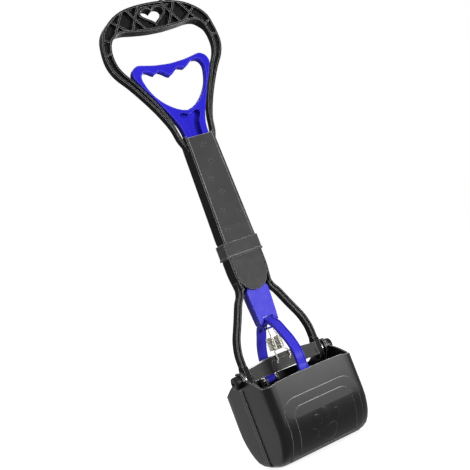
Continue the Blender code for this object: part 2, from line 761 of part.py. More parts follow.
def build_front_cover():
    """Cover that closes the front of the upper shaft."""
    low = FOLD_HEIGHT + SEAM_GAP
    high = SHAFT_TOP - LOOP_LIP
    inset = SHAFT_WALL + COVER_GAP
    levels = [low, FOLD_HEIGHT + UPPER_STRAIGHT, SHAFT_TOP - SHAFT_TOP_TAPER, high]
    side = [(upper_half_width(z) - inset, z) for z in levels]
    front = -COVER_FACE
    cover = prism(mirrored(side), "Y", front, front + COVER_THICKNESS, COVER_EDGE)
    join(cover, *cover_posts(cover_screw_places()))
    cut(cover, *screws(cover_screw_places(), GAP))
    return name_piece(cover, "shaft_front_cover", black_plastic("cover_black"))


def build_screw(name, place):
    """Countersunk screw with a cross recess."""
    face = SHAFT_HALF_DEPTH - COVER_GAP
    screw = turned(screw_profile(0.0), "Y", place)
    long_arm = SCREW_HEAD_RADIUS / 2
    short_arm = SCREW_HEAD_RADIUS / 8
    for wide, tall in ((long_arm, short_arm), (short_arm, long_arm)):
        cut(screw, block(place[0] - wide, place[0] + wide, face - SCREW_HEAD_DEPTH / 2,
                         face + OVERRUN, place[1] - tall, place[1] + tall))
    return name_piece(screw, name, steel(name + "_steel"))


def build_lock_collar():
    """Sleeve that slides over the fold and locks it straight."""
    inner_x = LOWER_HALF_WIDTH + GAP
    inner_y = SHAFT_HALF_DEPTH + GAP
    outer_x = inner_x + COLLAR_WALL
    outer_y = inner_y + COLLAR_WALL
    low = FOLD_HEIGHT - COLLAR_DROP
    high = low + COLLAR_HEIGHT
    lip_top = low + COLLAR_LIP_HEIGHT
    levels = [(low, COLLAR_LIP), (lip_top, COLLAR_LIP), (lip_top + COLLAR_LIP, 0.0),
              (high - COLLAR_LIP, 0.0), (high, -COLLAR_LIP)]
    rings = []
    for height, change in levels:
        outline = rounded_box(outer_x + change, outer_y + change, COLLAR_WALL * 2)
        rings.append([(x, y, height) for x, y in outline])
    sleeve = loft(rings)
    cut(sleeve, block(-inner_x, inner_x, -inner_y, inner_y, low - OVERRUN, high + OVERRUN))
    return name_piece(sleeve, "lock_collar", black_plastic("collar_black"))


def rounded_box(half_x, half_y, radius):
    """Outline of a rectangle with round corners about the origin."""
    outline = []
    corners = ((1, 1, 0), (-1, 1, 1), (-1, -1, 2), (1, -1, 3))
    steps = SMALL_ROUND_SIDES // 4
    for side_x, side_y, quarter in corners:
        centre_x = side_x * (half_x - radius)
        centre_y = side_y * (half_y - radius)
        for i in range(steps + 1):
            turn = pi / 2 * (quarter + i / steps)
            outline.append((centre_x + radius * cos(turn), centre_y + radius * sin(turn)))
    return outline


def trigger_neck_half_width():
    """Half width of the trigger's neck where it slides in the shaft's mouth."""
    return SHAFT_TOP_HALF_WIDTH - SHAFT_WALL - TRIGGER_NECK_GAP


def build_trigger():
    """Finger grip with its neck, its stem in the shaft and the link tongue on the fold's axis."""
    neck = trigger_neck_half_width()
    neck_low = SHAFT_TOP - TRIGGER_NECK_LENGTH
    side = [(STEM_HALF_WIDTH, neck_low - STEM_HALF_DEPTH), (neck, neck_low), (neck, SHAFT_TOP)]
    side += smooth_path([handle_point(*share) for share in TRIGGER_SHARES], PATH_STEPS)
    grip = prism(mirrored(side), "Y", -TRIGGER_HALF_DEPTH, TRIGGER_HALF_DEPTH, TRIGGER_EDGE)
    opening = smooth_path([handle_point(*share) for share in OPENING_SHARES], PATH_STEPS, closed=True)
    flare = TRIGGER_HALF_DEPTH + TRIGGER_EDGE / 2
    cut(grip, prism(opening, "Y", -flare, flare, -TRIGGER_EDGE * 2))
    pocket = mirrored(smooth_path([handle_point(*share) for share in POCKET_SHARES], PATH_STEPS))
    cut(grip, prism(pocket, "Y", -TRIGGER_HALF_DEPTH - OVERRUN, -TRIGGER_HALF_DEPTH + POCKET_DEPTH))
    link_top = FOLD_HEIGHT + LINK_RADIUS + GAP
    join(grip, block(-STEM_HALF_WIDTH, STEM_HALF_WIDTH, -STEM_HALF_DEPTH + GAP, STEM_HALF_DEPTH - GAP,
                     link_top, neck_low + WELD))
    tongue = prism(link_outline(1), "X", -LINK_TONGUE_HALF_WIDTH, LINK_TONGUE_HALF_WIDTH)
    join(grip, tongue)
    reach = LINK_TONGUE_HALF_WIDTH + OVERRUN
    hole = circle((FOLD_Y, FOLD_HEIGHT), LINK_PIN_RADIUS + PIN_GAP, SMALL_ROUND_SIDES)
    cut(grip, prism(hole, "X", -reach, reach))
    return name_piece(grip, "trigger", blue_plastic("trigger_blue"))


def link_outline(direction):
    """Round eye about the fold's axis that blends into a stem above it or below it."""
    stem_end = LINK_RADIUS + GAP
    into_stem = stem_end + LINK_RADIUS
    corner = Vector((STEM_HALF_DEPTH - GAP * 2 - FOLD_Y, into_stem))
    lean = atan2(corner.y, corner.x) - acos(LINK_RADIUS / corner.length)
    steps = SMALL_ROUND_SIDES // 2 + 1
    outline = []
    for i in range(steps + 1):
        turn = pi + (pi + lean) * i / steps
        outline.append((LINK_RADIUS * cos(turn), LINK_RADIUS * sin(turn)))
    back = -2 * LINK_RADIUS
    outline += [tuple(corner), (back, into_stem), (back, stem_end)]
    return [(FOLD_Y + y, FOLD_HEIGHT + direction * z) for y, z in outline]


def link_cheek_inner():
    """Inner face of the pull rod's cheeks beside the trigger's tongue."""
    return LINK_TONGUE_HALF_WIDTH + GAP


def rod_box():
    """The wide hollow-looking end of the pull rod that shows below the shaft."""
    foot = PIVOT_HEIGHT - KNUCKLE_RADIUS - WELD
    widest = foot + BOX_WIDEST_RISE
    top = foot + BOX_HEIGHT
    side = [(BOX_FOOT_HALF_WIDTH, foot), (BOX_HALF_WIDTH, widest), (BOX_HALF_WIDTH, top - BOX_SHOULDER),
            (STEM_HALF_WIDTH, top)]
    return prism(mirrored(side), "Y", -BOX_HALF_DEPTH, BOX_HALF_DEPTH, COVER_EDGE), foot, top


def arm_pin_places():
    """Places of the arms' upper pins, front first."""
    return [(-PIVOT_Y, PIVOT_HEIGHT), (PIVOT_Y, PIVOT_HEIGHT)]


def build_pull_rod():
    """Rod from the fold's link down to the box that carries the arms and the springs' bar."""
    rod, foot, top = rod_box()
    stem_top = FOLD_HEIGHT - LINK_RADIUS - GAP
    join(rod, block(-STEM_HALF_WIDTH, STEM_HALF_WIDTH, -STEM_HALF_DEPTH + GAP, STEM_HALF_DEPTH - GAP,
                    top - WELD, stem_top))
    cheek = link_cheek_inner()
    join(rod, *across_pair(link_outline(-1), cheek, cheek + LINK_CHEEK))
    slot_top = PIVOT_HEIGHT + KNUCKLE_RADIUS + GAP * 2
    cut(rod, block(-SLOT_HALF_WIDTH, SLOT_HALF_WIDTH, -BOX_HALF_DEPTH - OVERRUN, BOX_HALF_DEPTH + OVERRUN,
                   foot - OVERRUN, slot_top))
    arch_width = BOX_FOOT_HALF_WIDTH - COVER_EDGE * 2
    arch = [(arch_width * cos(t), foot + ARCH_HEIGHT * sin(t))
            for t in (pi * i / SMALL_ROUND_SIDES for i in range(SMALL_ROUND_SIDES + 1))]
    arch += [(-arch_width, foot - OVERRUN), (arch_width, foot - OVERRUN)]
    cut(rod, prism(arch, "Y", -BOX_HALF_DEPTH - OVERRUN, -BOX_HALF_DEPTH + ARCH_DEPTH),
        prism(arch, "Y", BOX_HALF_DEPTH - ARCH_DEPTH, BOX_HALF_DEPTH + OVERRUN))
    ear = capsule((0.0, SPRING_BAR_HEIGHT), (0.0, PIVOT_HEIGHT), SPRING_EAR_HALF_WIDTH)
    ear_inner = SLOT_HALF_WIDTH + GAP
    join(rod, *across_pair(ear, ear_inner, ear_inner + SPRING_EAR_THICKNESS))
    bar = circle((0.0, SPRING_BAR_HEIGHT), SPRING_BAR_RADIUS, SMALL_ROUND_SIDES)
    join(rod, prism(bar, "X", -ear_inner - WELD, ear_inner + WELD))
    reach = BOX_HALF_WIDTH + OVERRUN
    for place in arm_pin_places():
        hole = circle(place, ARM_PIN_RADIUS + PIN_GAP, SMALL_ROUND_SIDES)
        cut(rod, prism(hole, "X", -reach, reach))
    hole = circle((FOLD_Y, FOLD_HEIGHT), LINK_PIN_RADIUS + PIN_GAP, SMALL_ROUND_SIDES)
    cut(rod, prism(hole, "X", -reach, reach))
    return name_piece(rod, "pull_rod", blue_plastic("rod_blue"))


def pin(name, centre, radius, half_length):
    """A plain steel pin along X with chamfered ends."""
    edge = radius / 4
    made = turned([(radius - edge, -half_length), (radius, -half_length + edge),
                   (radius, half_length - edge), (radius - edge, half_length)], "X", centre)
    return name_piece(made, name, steel(name + "_steel"))


def fold_pin(name, side):
    """Stub pin of the fold, between the upper shaft's lug and the lower shaft's ear."""
    inner = UPPER_HALF_WIDTH - SHAFT_WALL + GAP - LUG_THICKNESS
    outer = LOWER_HALF_WIDTH - GAP
    low, high = sorted((side * inner, side * outer))
    made = turned([(FOLD_PIN_RADIUS, low), (FOLD_PIN_RADIUS, high)], "X", (FOLD_Y, FOLD_HEIGHT))
    return name_piece(made, name, steel(name + "_steel"))


def fork_root_x():
    """Where a wishbone arm leaves the shaft's side wall."""
    return LOWER_NECK_HALF_WIDTH - SHAFT_WALL + WELD


def fork_arm(side):
    """One grooved arm of the wishbone, from the shaft's wall down to its foot."""
    root = FOLD_HEIGHT - FORK_ROOT_DROP
    foot_x = (FOOT_INNER + FOOT_OUTER) / 2
    points = []
    for x_share, z_share in FORK_SHARES:
        points.append((fork_root_x() + x_share * (foot_x - fork_root_x()),
                       AXLE_HEIGHT + z_share * (root - AXLE_HEIGHT)))
    path = smooth_path(points, PATH_STEPS)
    rings = []
    for before, here, after in zip(path[:1] + path[:-1], path, path[1:] + path[-1:]):
        along = Vector((after[0] - before[0], after[1] - before[1])).normalized()
        across = Vector((-along.y, along.x)) * (FORK_WIDTH / 2)
        outer = (side * (here[0] + across.x), here[1] + across.y)
        inner = (side * (here[0] - across.x), here[1] - across.y)
        rings.append(ribbed_ring(outer, inner, FORK_HALF_DEPTH, FORK_LIP, FORK_HALF_DEPTH - FORK_GROOVE))
    return loft(rings)


def lower_shaft():
    """Channel of the lower shaft, narrower where the fork leaves it."""
    blend = SHAFT_HALF_DEPTH / 2
    neck = FOLD_HEIGHT - LOWER_NECK_DROP
    straight = FOLD_HEIGHT - LOWER_STRAIGHT
    return loft([
        channel_ring(LOWER_NECK_HALF_WIDTH - WELD, SHAFT_HALF_DEPTH, neck - blend),
        channel_ring(LOWER_NECK_HALF_WIDTH, SHAFT_HALF_DEPTH, neck),
        channel_ring(LOWER_HALF_WIDTH - GAP, SHAFT_HALF_DEPTH, straight),
        channel_ring(LOWER_HALF_WIDTH, SHAFT_HALF_DEPTH, straight + blend),
        channel_ring(LOWER_HALF_WIDTH, SHAFT_HALF_DEPTH, FOLD_HEIGHT - SEAM_GAP / 2),
    ])


def build_fork_frame():
    """Lower shaft, wishbone arms and their feet, one moulding."""
    frame = lower_shaft()
    cut(frame, relief(-1))
    ear = circle((FOLD_Y, FOLD_HEIGHT), EAR_RADIUS)
    join(frame, *across_pair(ear, LOWER_HALF_WIDTH - SHAFT_WALL, LOWER_HALF_WIDTH - GAP / 2))
    join(frame, fork_arm(1), fork_arm(-1))
    foot_top = AXLE_HEIGHT + FOOT_RISE - FOOT_RADIUS / 2
    foot = capsule((0.0, AXLE_HEIGHT - FOOT_DROP), (0.0, foot_top), FOOT_RADIUS, ROUND_SIDES)
    join(frame, *across_pair(foot, FOOT_INNER, FOOT_OUTER))
    cut(frame, *fold_pin_holes(PIN_GAP))
    cut(frame, *screws(plate_screw_places(), GAP))
    hole = circle((0.0, AXLE_HEIGHT), BOLT_RADIUS + PIN_GAP)
    cut(frame, *across_pair(hole, FOOT_INNER - OVERRUN, FOOT_OUTER + OVERRUN))
    return name_piece(frame, "fork_frame", black_plastic("fork_black"))


def build_front_plate():
    """Plate with a round tongue that closes the front of the lower shaft."""
    half_width = LOWER_HALF_WIDTH - SHAFT_WALL - COVER_GAP * 2
    straight = FOLD_HEIGHT - LOWER_STRAIGHT
    top = FOLD_HEIGHT - SEAM_GAP
    outline = [(half_width, top)]
    outline += [(half_width * cos(t), straight - TONGUE_HEIGHT * sin(t))
                for t in (pi * i / SMALL_ROUND_SIDES for i in range(SMALL_ROUND_SIDES + 1))]
    outline += [(-half_width, top)]
    front = -COVER_FACE
    plate = prism(outline, "Y", front, front + COVER_THICKNESS, COVER_EDGE)
    join(plate, *cover_posts(plate_screw_places()))
    cut(plate, *screws(plate_screw_places(), GAP))
    return name_piece(plate, "lower_front_plate", black_plastic("plate_black"))


def build_crossbar():
    """Arched bracket between the feet, hollow at the back, with the springs' holes in its boss."""
    half_width = BAR_LUG_OUTER
    low = AXLE_HEIGHT - BAR_DROP
    high = AXLE_HEIGHT + BAR_END_RISE
    shares = [i / SMALL_ROUND_SIDES for i in range(SMALL_ROUND_SIDES + 1)]
    arch = [(half_width * (1 - 2 * share), high + BAR_ARCH * sin(pi * share)) for share in shares]
    outline = [(-half_width, low), (half_width, low)] + arch
    bar = prism(outline, "Y", -BAR_HALF_DEPTH, BAR_HALF_DEPTH)
    hollow = [(x * BAR_LUG_INNER / half_width, z - BAR_WALL) for x, z in arch]
    hollow = [(-BAR_LUG_INNER, low + BAR_WALL), (BAR_LUG_INNER, low + BAR_WALL)] + hollow
    cut(bar, prism(hollow, "Y", -BAR_HALF_DEPTH + BAR_WALL, BAR_HALF_DEPTH + OVERRUN))
    lug = circle((0.0, AXLE_HEIGHT), BAR_LUG_RADIUS)
    join(bar, *across_pair(lug, BAR_LUG_INNER - GAP / 2, BAR_LUG_OUTER - GAP / 2))
    boss = rounded_box(BAR_BOSS_HALF_WIDTH, BAR_BOSS_HALF_HEIGHT, BAR_WALL * 2)
    boss = [(x, z + AXLE_HEIGHT + BAR_ARCH / 2) for x, z in boss]
    join(bar, prism(boss, "Y", -BAR_HALF_DEPTH - BAR_BOSS_THICKNESS, -BAR_HALF_DEPTH + BAR_WALL - GAP / 2,
                    COVER_EDGE))
    for side in (1, -1):
        place = (side * SPRING_HOLE_X, AXLE_HEIGHT + SPRING_HOLE_RISE)
        profile = [(SPRING_HOLE_RADIUS, -BAR_HALF_DEPTH - OVERRUN), (SPRING_HOLE_RADIUS, 0.0)]
        cut(bar, turned(profile, "Y", place))
    hole = circle((0.0, AXLE_HEIGHT), BOLT_RADIUS + PIN_GAP)
    cut(bar, *across_pair(hole, BAR_LUG_INNER - OVERRUN, BAR_LUG_OUTER + OVERRUN))
    return name_piece(bar, "crossbar", black_plastic("crossbar_black"))


def jaw_profile(turn, inset):
    """Reach and height of the bucket's section at an angle up its lower curve."""
    wide = JAW_REACH - JAW_FLOOR_REACH - inset
    tall = JAW_CURVE_HEIGHT - inset
    return JAW_FLOOR_REACH + wide * sin(turn), JAW_CURVE_HEIGHT - tall * cos(turn)


def jaw_half_width(height, inset):
    """Half width of the bucket at a height, rounded in towards its floor."""
    below = max(0.0, inset + JAW_EDGE_RADIUS - height) / JAW_EDGE_RADIUS
    drop = JAW_EDGE_RADIUS * (1 - sqrt(max(0.0, 1 - below**2)))
    return JAW_HALF_WIDTH - inset - drop


def side_rim(y_share):
    """Rise of the rim along the jaw's side, highest at the ears."""
    return JAW_SIDE_RISE * (1 - y_share ** SIDE_RIM_POWER)


def jaw_ring(side, half_width, reach, height, inset, on_rim):
    """Open line around one jaw at a height, from its right seam round the front to its left seam."""
    corner = min(JAW_CORNER_RADIUS, reach * JAW_CORNER_REACH_SHARE) - inset * INNER_CORNER_SHARE
    seam = SEAM_HALF_GAP
    points = []
    for i in range(JAW_SIDE_STEPS):
        points.append((half_width, seam + (reach - corner - seam) * i / JAW_SIDE_STEPS))
    for i in range(JAW_CORNER_STEPS + 1):
        turn = pi / 2 * i / JAW_CORNER_STEPS
        points.append((half_width - corner + corner * cos(turn), reach - corner + corner * sin(turn)))
    flat = half_width - corner
    middle = [(flat * share, reach) for share in JAW_FRONT_SHARES]
    left = [(-x, y) for x, y in reversed(points)]
    ring = []
    for x, y in points + middle + left:
        z = height
        if on_rim:
            x_share = min(1.0, abs(x) / (JAW_HALF_WIDTH - JAW_CORNER_RADIUS))
            y_share = min(1.0, y / (JAW_REACH - JAW_CORNER_RADIUS))
            z += side_rim(y_share) + JAW_RIM_ARCH * (1 - x_share ** RIM_ARCH_POWER)
        ring.append((x, side * y, z))
    return ring


def jaw_levels(side, inset):
    """Rings of one skin of a jaw, floor first and rim last."""
    rings = []
    for i in range(JAW_CURVE_STEPS + 1):
        reach, height = jaw_profile(pi / 2 * i / JAW_CURVE_STEPS, inset)
        rings.append(jaw_ring(side, jaw_half_width(height, inset), reach, height, inset, False))
    rings.append(jaw_ring(side, JAW_HALF_WIDTH - inset, JAW_REACH - inset, RIM_HEIGHT, inset, True))
    return rings


def jaw_shell(side):
    """Open shell of one jaw between its outer and inner skins; side is -1 in front and 1 behind."""
    shape = bmesh.new()
    outer = [[shape.verts.new(p) for p in ring] for ring in jaw_levels(side, 0.0)]
    inner = [[shape.verts.new(p) for p in ring] for ring in jaw_levels(side, JAW_WALL)]
    for skin in (outer, inner):
        for low, high in zip(skin, skin[1:]):
            for a, b, c, d in zip(low, low[1:], high[1:], high):
                shape.faces.new((a, b, c, d))
        shape.faces.new(skin[0])
    for a, b, c, d in zip(outer[-1], outer[-1][1:], inner[-1][1:], inner[-1]):
        shape.faces.new((a, b, c, d))
    for end in (0, -1):
        for low_out, high_out, low_in, high_in in zip(outer, outer[1:], inner, inner[1:]):
            shape.faces.new((low_out[end], high_out[end], high_in[end], low_in[end]))
    shape.faces.new((outer[0][0], outer[0][-1], inner[0][-1], inner[0][0]))
    return object_of(shape)


def jaw_panel(side, half_width, top, corner, root, proud, start):
    """Raised panel that follows the jaw's face from its floor up to a top with round corners."""
    stations = []
    for i in range(PANEL_STEPS + 1):
        turn = start + (pi / 2 - start) * i / PANEL_STEPS
        reach, height = jaw_profile(turn, 0.0)
        stations.append((reach, height, half_width, cos(turn), sin(turn)))
    corner = min(corner, top - JAW_CURVE_HEIGHT - WELD)
    for i in range(PANEL_CORNER_STEPS + 1):
        turn = pi / 2 * i / PANEL_CORNER_STEPS
        width = half_width - corner * (1 - cos(turn))
        stations.append((JAW_REACH, top - corner + corner * sin(turn), width, 0.0, 1.0))
    rings = []
    for reach, height, width, down, out in stations:
        line = []
        for x, rise in ((-width, root), (width, root), (width, proud - PANEL_CHAMFER / 2),
                        (width - PANEL_CHAMFER, proud), (-width + PANEL_CHAMFER, proud),
                        (-width, proud - PANEL_CHAMFER / 2)):
            line.append((x, side * (reach + rise * out), height - rise * down))
        rings.append(line)
    return loft(rings)


def jaw_lugs(side):
    """Pair of slotted lugs inside a jaw's front wall that take the arm's pin."""
    wall = JAW_REACH - JAW_WALL + WELD
    tip = EYE_Y - JAW_LUG_REACH
    low = EYE_HEIGHT - JAW_LUG_DROP
    high = EYE_HEIGHT + JAW_LUG_RISE
    cut_back = JAW_LUG_REACH / 2
    outline = [(wall, low), (wall, high), (tip + cut_back, high), (tip, high - cut_back),
               (tip, low + cut_back), (tip + cut_back, low)]
    outline = [(side * y, z) for y, z in outline]
    inner = ARM_HALF_WIDTH + JAW_LUG_GAP
    lugs = across_pair(outline, inner, inner + JAW_LUG_THICKNESS)
    middle = Vector((EYE_Y - SLOT_SHIFT_Y, EYE_HEIGHT + SLOT_SHIFT_Z))
    travel = Vector((-cos(SLOT_TILT), sin(SLOT_TILT))) * SLOT_HALF_TRAVEL
    start, end = middle - travel, middle + travel
    slot = capsule((side * start.x, start.y), (side * end.x, end.y), EYE_PIN_RADIUS + SLOT_GAP)
    for lug in lugs:
        cut(lug, prism(slot, "X", -inner * 2, inner * 2))
    return lugs


def seam_band():
    """Raised band round the rear jaw's seam edge."""
    edge = JAW_EDGE_RADIUS
    path = [(JAW_HALF_WIDTH, AXLE_HEIGHT - JAW_EAR_RADIUS)]
    for i in range(BAND_STEPS + 1):
        turn = -pi / 2 * i / BAND_STEPS
        path.append((JAW_HALF_WIDTH - edge + edge * cos(turn), edge + edge * sin(turn)))
    path += [(-x, z) for x, z in reversed(path)]
    near, far = SEAM_HALF_GAP, SEAM_HALF_GAP + BAND_WIDTH
    rings = []
    for before, here, after in zip(path[:1] + path[:-1], path, path[1:] + path[-1:]):
        along = Vector((after[0] - before[0], after[1] - before[1])).normalized()
        out = Vector((-along.y, along.x))
        proud = BAND_PROUD if here[1] > edge / 2 else 0.0
        base = Vector(here) - out * WELD * 2
        rise = Vector(here) + out * proud
        rings.append([(base.x, near, base.y), (rise.x, near, rise.y),
                      (rise.x, far, rise.y), (base.x, far, base.y)])
    return loft(rings)


def add_panels(jaw, side):
    """Add the nested raised panels to a jaw's face."""
    join(jaw, jaw_panel(side, OUTER_PANEL_HALF_WIDTH, OUTER_PANEL_TOP, OUTER_PANEL_CORNER,
                        -WELD, PANEL_PROUD, OUTER_PANEL_START))
    inner_half_width = OUTER_PANEL_HALF_WIDTH - INNER_PANEL_INSET
    inner_top = OUTER_PANEL_TOP - INNER_PANEL_INSET
    join(jaw, jaw_panel(side, inner_half_width, inner_top, INNER_PANEL_CORNER,
                        PANEL_PROUD / 2, PANEL_PROUD * 2, INNER_PANEL_START))


def build_front_jaw():
    """Front half of the bucket with its ears outside the rear jaw's."""
    jaw = join(jaw_shell(-1), *jaw_lugs(-1))
    ear = circle((0.0, AXLE_HEIGHT), JAW_EAR_RADIUS)
    join(jaw, *across_pair(ear, FRONT_EAR_INNER + EAR_INSET, JAW_HALF_WIDTH - EAR_INSET))
    add_panels(jaw, -1)
    hole = circle((0.0, AXLE_HEIGHT), BOLT_RADIUS + PIN_GAP)
    cut(jaw, *across_pair(hole, FRONT_EAR_INNER - OVERRUN, JAW_HALF_WIDTH + OVERRUN))
    return name_piece(jaw, "front_jaw", black_plastic("front_jaw_black"))


def build_rear_jaw():
    """Rear half of the bucket, whose ears step inside the front jaw's."""
    jaw = join(jaw_shell(1), *jaw_lugs(1))
    round_ear = circle((0.0, AXLE_HEIGHT), JAW_EAR_RADIUS + JAW_EAR_GAP)
    cut(jaw, *across_pair(round_ear, FRONT_EAR_INNER - OVERRUN, JAW_HALF_WIDTH + OVERRUN))
    share_y, share_z = EAR_TAB_SHARES
    ear_end = (JAW_EAR_RADIUS * share_y, AXLE_HEIGHT - JAW_EAR_RADIUS * share_z)
    ear = capsule((0.0, AXLE_HEIGHT), ear_end, JAW_EAR_RADIUS, ROUND_SIDES)
    joggle = capsule(ear_end, (ear_end[0] + WELD, ear_end[1]), JAW_EAR_RADIUS)
    for plate, pad in zip(across_pair(ear, REAR_EAR_INNER, REAR_EAR_OUTER),
                          across_pair(joggle, REAR_EAR_INNER + WELD, FRONT_EAR_INNER + WELD)):
        cut(pad, *across_pair(round_ear, REAR_EAR_OUTER + EAR_INSET / 2, JAW_HALF_WIDTH + OVERRUN))
        cut(pad, block(-JAW_HALF_WIDTH, JAW_HALF_WIDTH, -JAW_REACH, SEAM_HALF_GAP, 0.0, AXLE_HEIGHT))
        join(plate, pad)
        join(jaw, plate)
    join(jaw, seam_band_clear(round_ear))
    add_panels(jaw, 1)
    hole = circle((0.0, AXLE_HEIGHT), BOLT_RADIUS + PIN_GAP)
    cut(jaw, *across_pair(hole, REAR_EAR_INNER - OVERRUN, JAW_HALF_WIDTH + OVERRUN))
    return name_piece(jaw, "rear_jaw", black_plastic("rear_jaw_black"))


def seam_band_clear(round_ear):
    """The seam band, cut back round the front jaw's ears."""
    band = seam_band()
    cut(band, *across_pair(round_ear, FRONT_EAR_INNER - OVERRUN, JAW_HALF_WIDTH + OVERRUN))
    return band


def arm_ring(centre, along, outward):
    """Section of a curved strap: flat inside, with a low lip along both edges outside."""
    across = Vector((-along.y, along.x)) * outward
    half = ARM_THICKNESS / 2
    lip = ARM_HALF_WIDTH - ARM_LIP
    section = [(-ARM_HALF_WIDTH, -half), (ARM_HALF_WIDTH, -half), (ARM_HALF_WIDTH, half + ARM_LIP_HEIGHT),
               (lip, half + ARM_LIP_HEIGHT), (lip, half), (-lip, half), (-lip, half + ARM_LIP_HEIGHT),
               (-ARM_HALF_WIDTH, half + ARM_LIP_HEIGHT)]
    return [(x, centre.x + across.x * rise, centre.y + across.y * rise) for x, rise in section]


def build_arm(name, side):
    """Curved strap from the pull rod's pivot to the jaw's pin."""
    start = Vector((side * PIVOT_Y, PIVOT_HEIGHT))
    end = Vector((side * EYE_Y, EYE_HEIGHT))
    points = [(start.x + share_y * (end.x - start.x), start.y + share_z * (end.y - start.y))
              for share_y, share_z in ARM_SHARES]
    path = smooth_path(points, PATH_STEPS)
    rings = []
    for before, here, after in zip(path[:1] + path[:-1], path, path[1:] + path[-1:]):
        along = Vector((after[0] - before[0], after[1] - before[1])).normalized()
        rings.append(arm_ring(Vector(here), along, side))
    arm = loft(rings)
    knuckle = circle(tuple(start), KNUCKLE_RADIUS, SMALL_ROUND_SIDES)
    eye = circle(tuple(end), EYE_RADIUS, SMALL_ROUND_SIDES)
    join(arm, prism(knuckle, "X", -ARM_HALF_WIDTH + GAP / 2, ARM_HALF_WIDTH - GAP / 2))
    join(arm, prism(eye, "X", -ARM_HALF_WIDTH + GAP / 2, ARM_HALF_WIDTH - GAP / 2))
    reach = ARM_HALF_WIDTH + OVERRUN
    near, far = sorted((side * GAP / 2, -side * BOX_HALF_DEPTH))
    cut(arm, block(-reach, reach, near, far, PIVOT_HEIGHT - BOX_HEIGHT, PIVOT_HEIGHT + BOX_HEIGHT))
    for centre, radius in ((start, ARM_PIN_RADIUS), (end, EYE_PIN_RADIUS)):
        hole = circle(tuple(centre), radius + PIN_GAP, SMALL_ROUND_SIDES)
        cut(arm, prism(hole, "X", -reach, reach))
    return name_piece(arm, name, blue_plastic(name + "_blue"))


def build_bolt(name, side):
    """Hinge bolt with a round head and a cross recess."""
    axle = (0.0, AXLE_HEIGHT)
    low = JAW_HALF_WIDTH + GAP
    high = low + BOLT_HEAD_HEIGHT
    shank = turned([(BOLT_RADIUS, NUT_INNER - GAP), (BOLT_RADIUS, low + WELD)], "X", axle)
    profile = [(share * BOLT_HEAD_RADIUS, low + rise * BOLT_HEAD_HEIGHT) for share, rise in BOLT_HEAD_SHARES]
    head = turned(profile, "X", axle, ROUND_SIDES)
    bolt = join(shank, head)
    long_arm = BOLT_HEAD_RADIUS / 2
    for y, z in ((long_arm, BOLT_SOCKET_WIDTH / 2), (BOLT_SOCKET_WIDTH / 2, long_arm)):
        cut(bolt, block(high - BOLT_SOCKET_DEPTH, high + OVERRUN, -y, y, AXLE_HEIGHT - z, AXLE_HEIGHT + z))
    if side < 0:
        bolt.data.transform(Matrix.Scale(-1.0, 4, (1.0, 0.0, 0.0)))
        bolt.data.flip_normals()
    return name_piece(bolt, name, black_plastic(name + "_black"))


def hexagon(centre, half_flats):
    """Outline of a hexagon with flats above and below."""
    corner = half_flats / cos(pi / 6)
    return [(centre[0] + corner * cos(pi / 3 * i), centre[1] + corner * sin(pi / 3 * i)) for i in range(6)]


def build_nut(name, side):
    """Hexagon nut inside the crossbar."""
    low, high = sorted((side * NUT_INNER, side * NUT_OUTER))
    nut = prism(hexagon((0.0, AXLE_HEIGHT), NUT_HALF_FLATS), "X", low, high)
    hole = circle((0.0, AXLE_HEIGHT), BOLT_RADIUS + PIN_GAP / 2, SMALL_ROUND_SIDES)
    cut(nut, prism(hole, "X", low - OVERRUN, high + OVERRUN))
    return name_piece(nut, name, steel(name + "_steel"))


def build_washer(name, side):
    """Spacer washer between a foot of the fork and the rear jaw's ear."""
    low, high = sorted((side * WASHER_INNER, side * (WASHER_INNER + WASHER_THICKNESS)))
    washer = prism(circle((0.0, AXLE_HEIGHT), WASHER_RADIUS), "X", low, high)
    hole = circle((0.0, AXLE_HEIGHT), BOLT_RADIUS + PIN_GAP, SMALL_ROUND_SIDES)
    cut(washer, prism(hole, "X", low - OVERRUN, high + OVERRUN))
    return name_piece(washer, name, steel(name + "_steel"))


def spring_path(side):
    """Centre line of a tension spring: bottom hook, close curls, top hook over the rod's bar."""
    x = side * SPRING_X
    hole_x = side * SPRING_HOLE_X
    base = AXLE_HEIGHT + SPRING_BASE_RISE
    hole_height = AXLE_HEIGHT + SPRING_HOLE_RISE
    face = -BAR_HALF_DEPTH - BAR_BOSS_THICKNESS
    lift = SPRING_RADIUS / 2
    front = face - lift / 2
    points = [(hole_x, face + BAR_WALL, hole_height), (hole_x, face, hole_height),
              (hole_x, front, hole_height + lift / 4), (hole_x, front - GAP, hole_height + lift),
              (hole_x - side * GAP, face - GAP, base - lift * 2),
              ((hole_x + x) / 2, -SPRING_RADIUS - GAP, base - lift / 2)]
    for i in range(SPRING_TURNS * CURL_POINTS + 1):
        turn = -pi / 2 - side * 2 * pi * i / CURL_POINTS
        points.append((x + SPRING_RADIUS * cos(turn), SPRING_RADIUS * sin(turn),
                       base + SPRING_PITCH * i / CURL_POINTS))
    top = base + SPRING_TURNS * SPRING_PITCH
    hook_x = side * SPRING_HOOK_X
    bar_clear = SPRING_BAR_RADIUS + SPRING_WIRE_RADIUS + HOOK_CLEARANCE
    points += [((x + hook_x) / 2, -SPRING_RADIUS + GAP, top + SPRING_PITCH),
               (hook_x, -bar_clear, top + lift + SPRING_PITCH)]
    for i in range(HOOK_STEPS + 1):
        turn = pi - HOOK_TURN * i / HOOK_STEPS
        points.append((hook_x, bar_clear * cos(turn), SPRING_BAR_HEIGHT + bar_clear * sin(turn)))
    return points


def least_gap(points):
    """Least clear distance between stretches of a wire that aren't neighbours along it."""
    apart = CURL_POINTS // 2
    least = None
    for i, first in enumerate(points):
        for second in points[i + apart:]:
            distance = (Vector(first) - Vector(second)).length
            least = distance if least is None else min(least, distance)
    return least - 2 * SPRING_WIRE_RADIUS


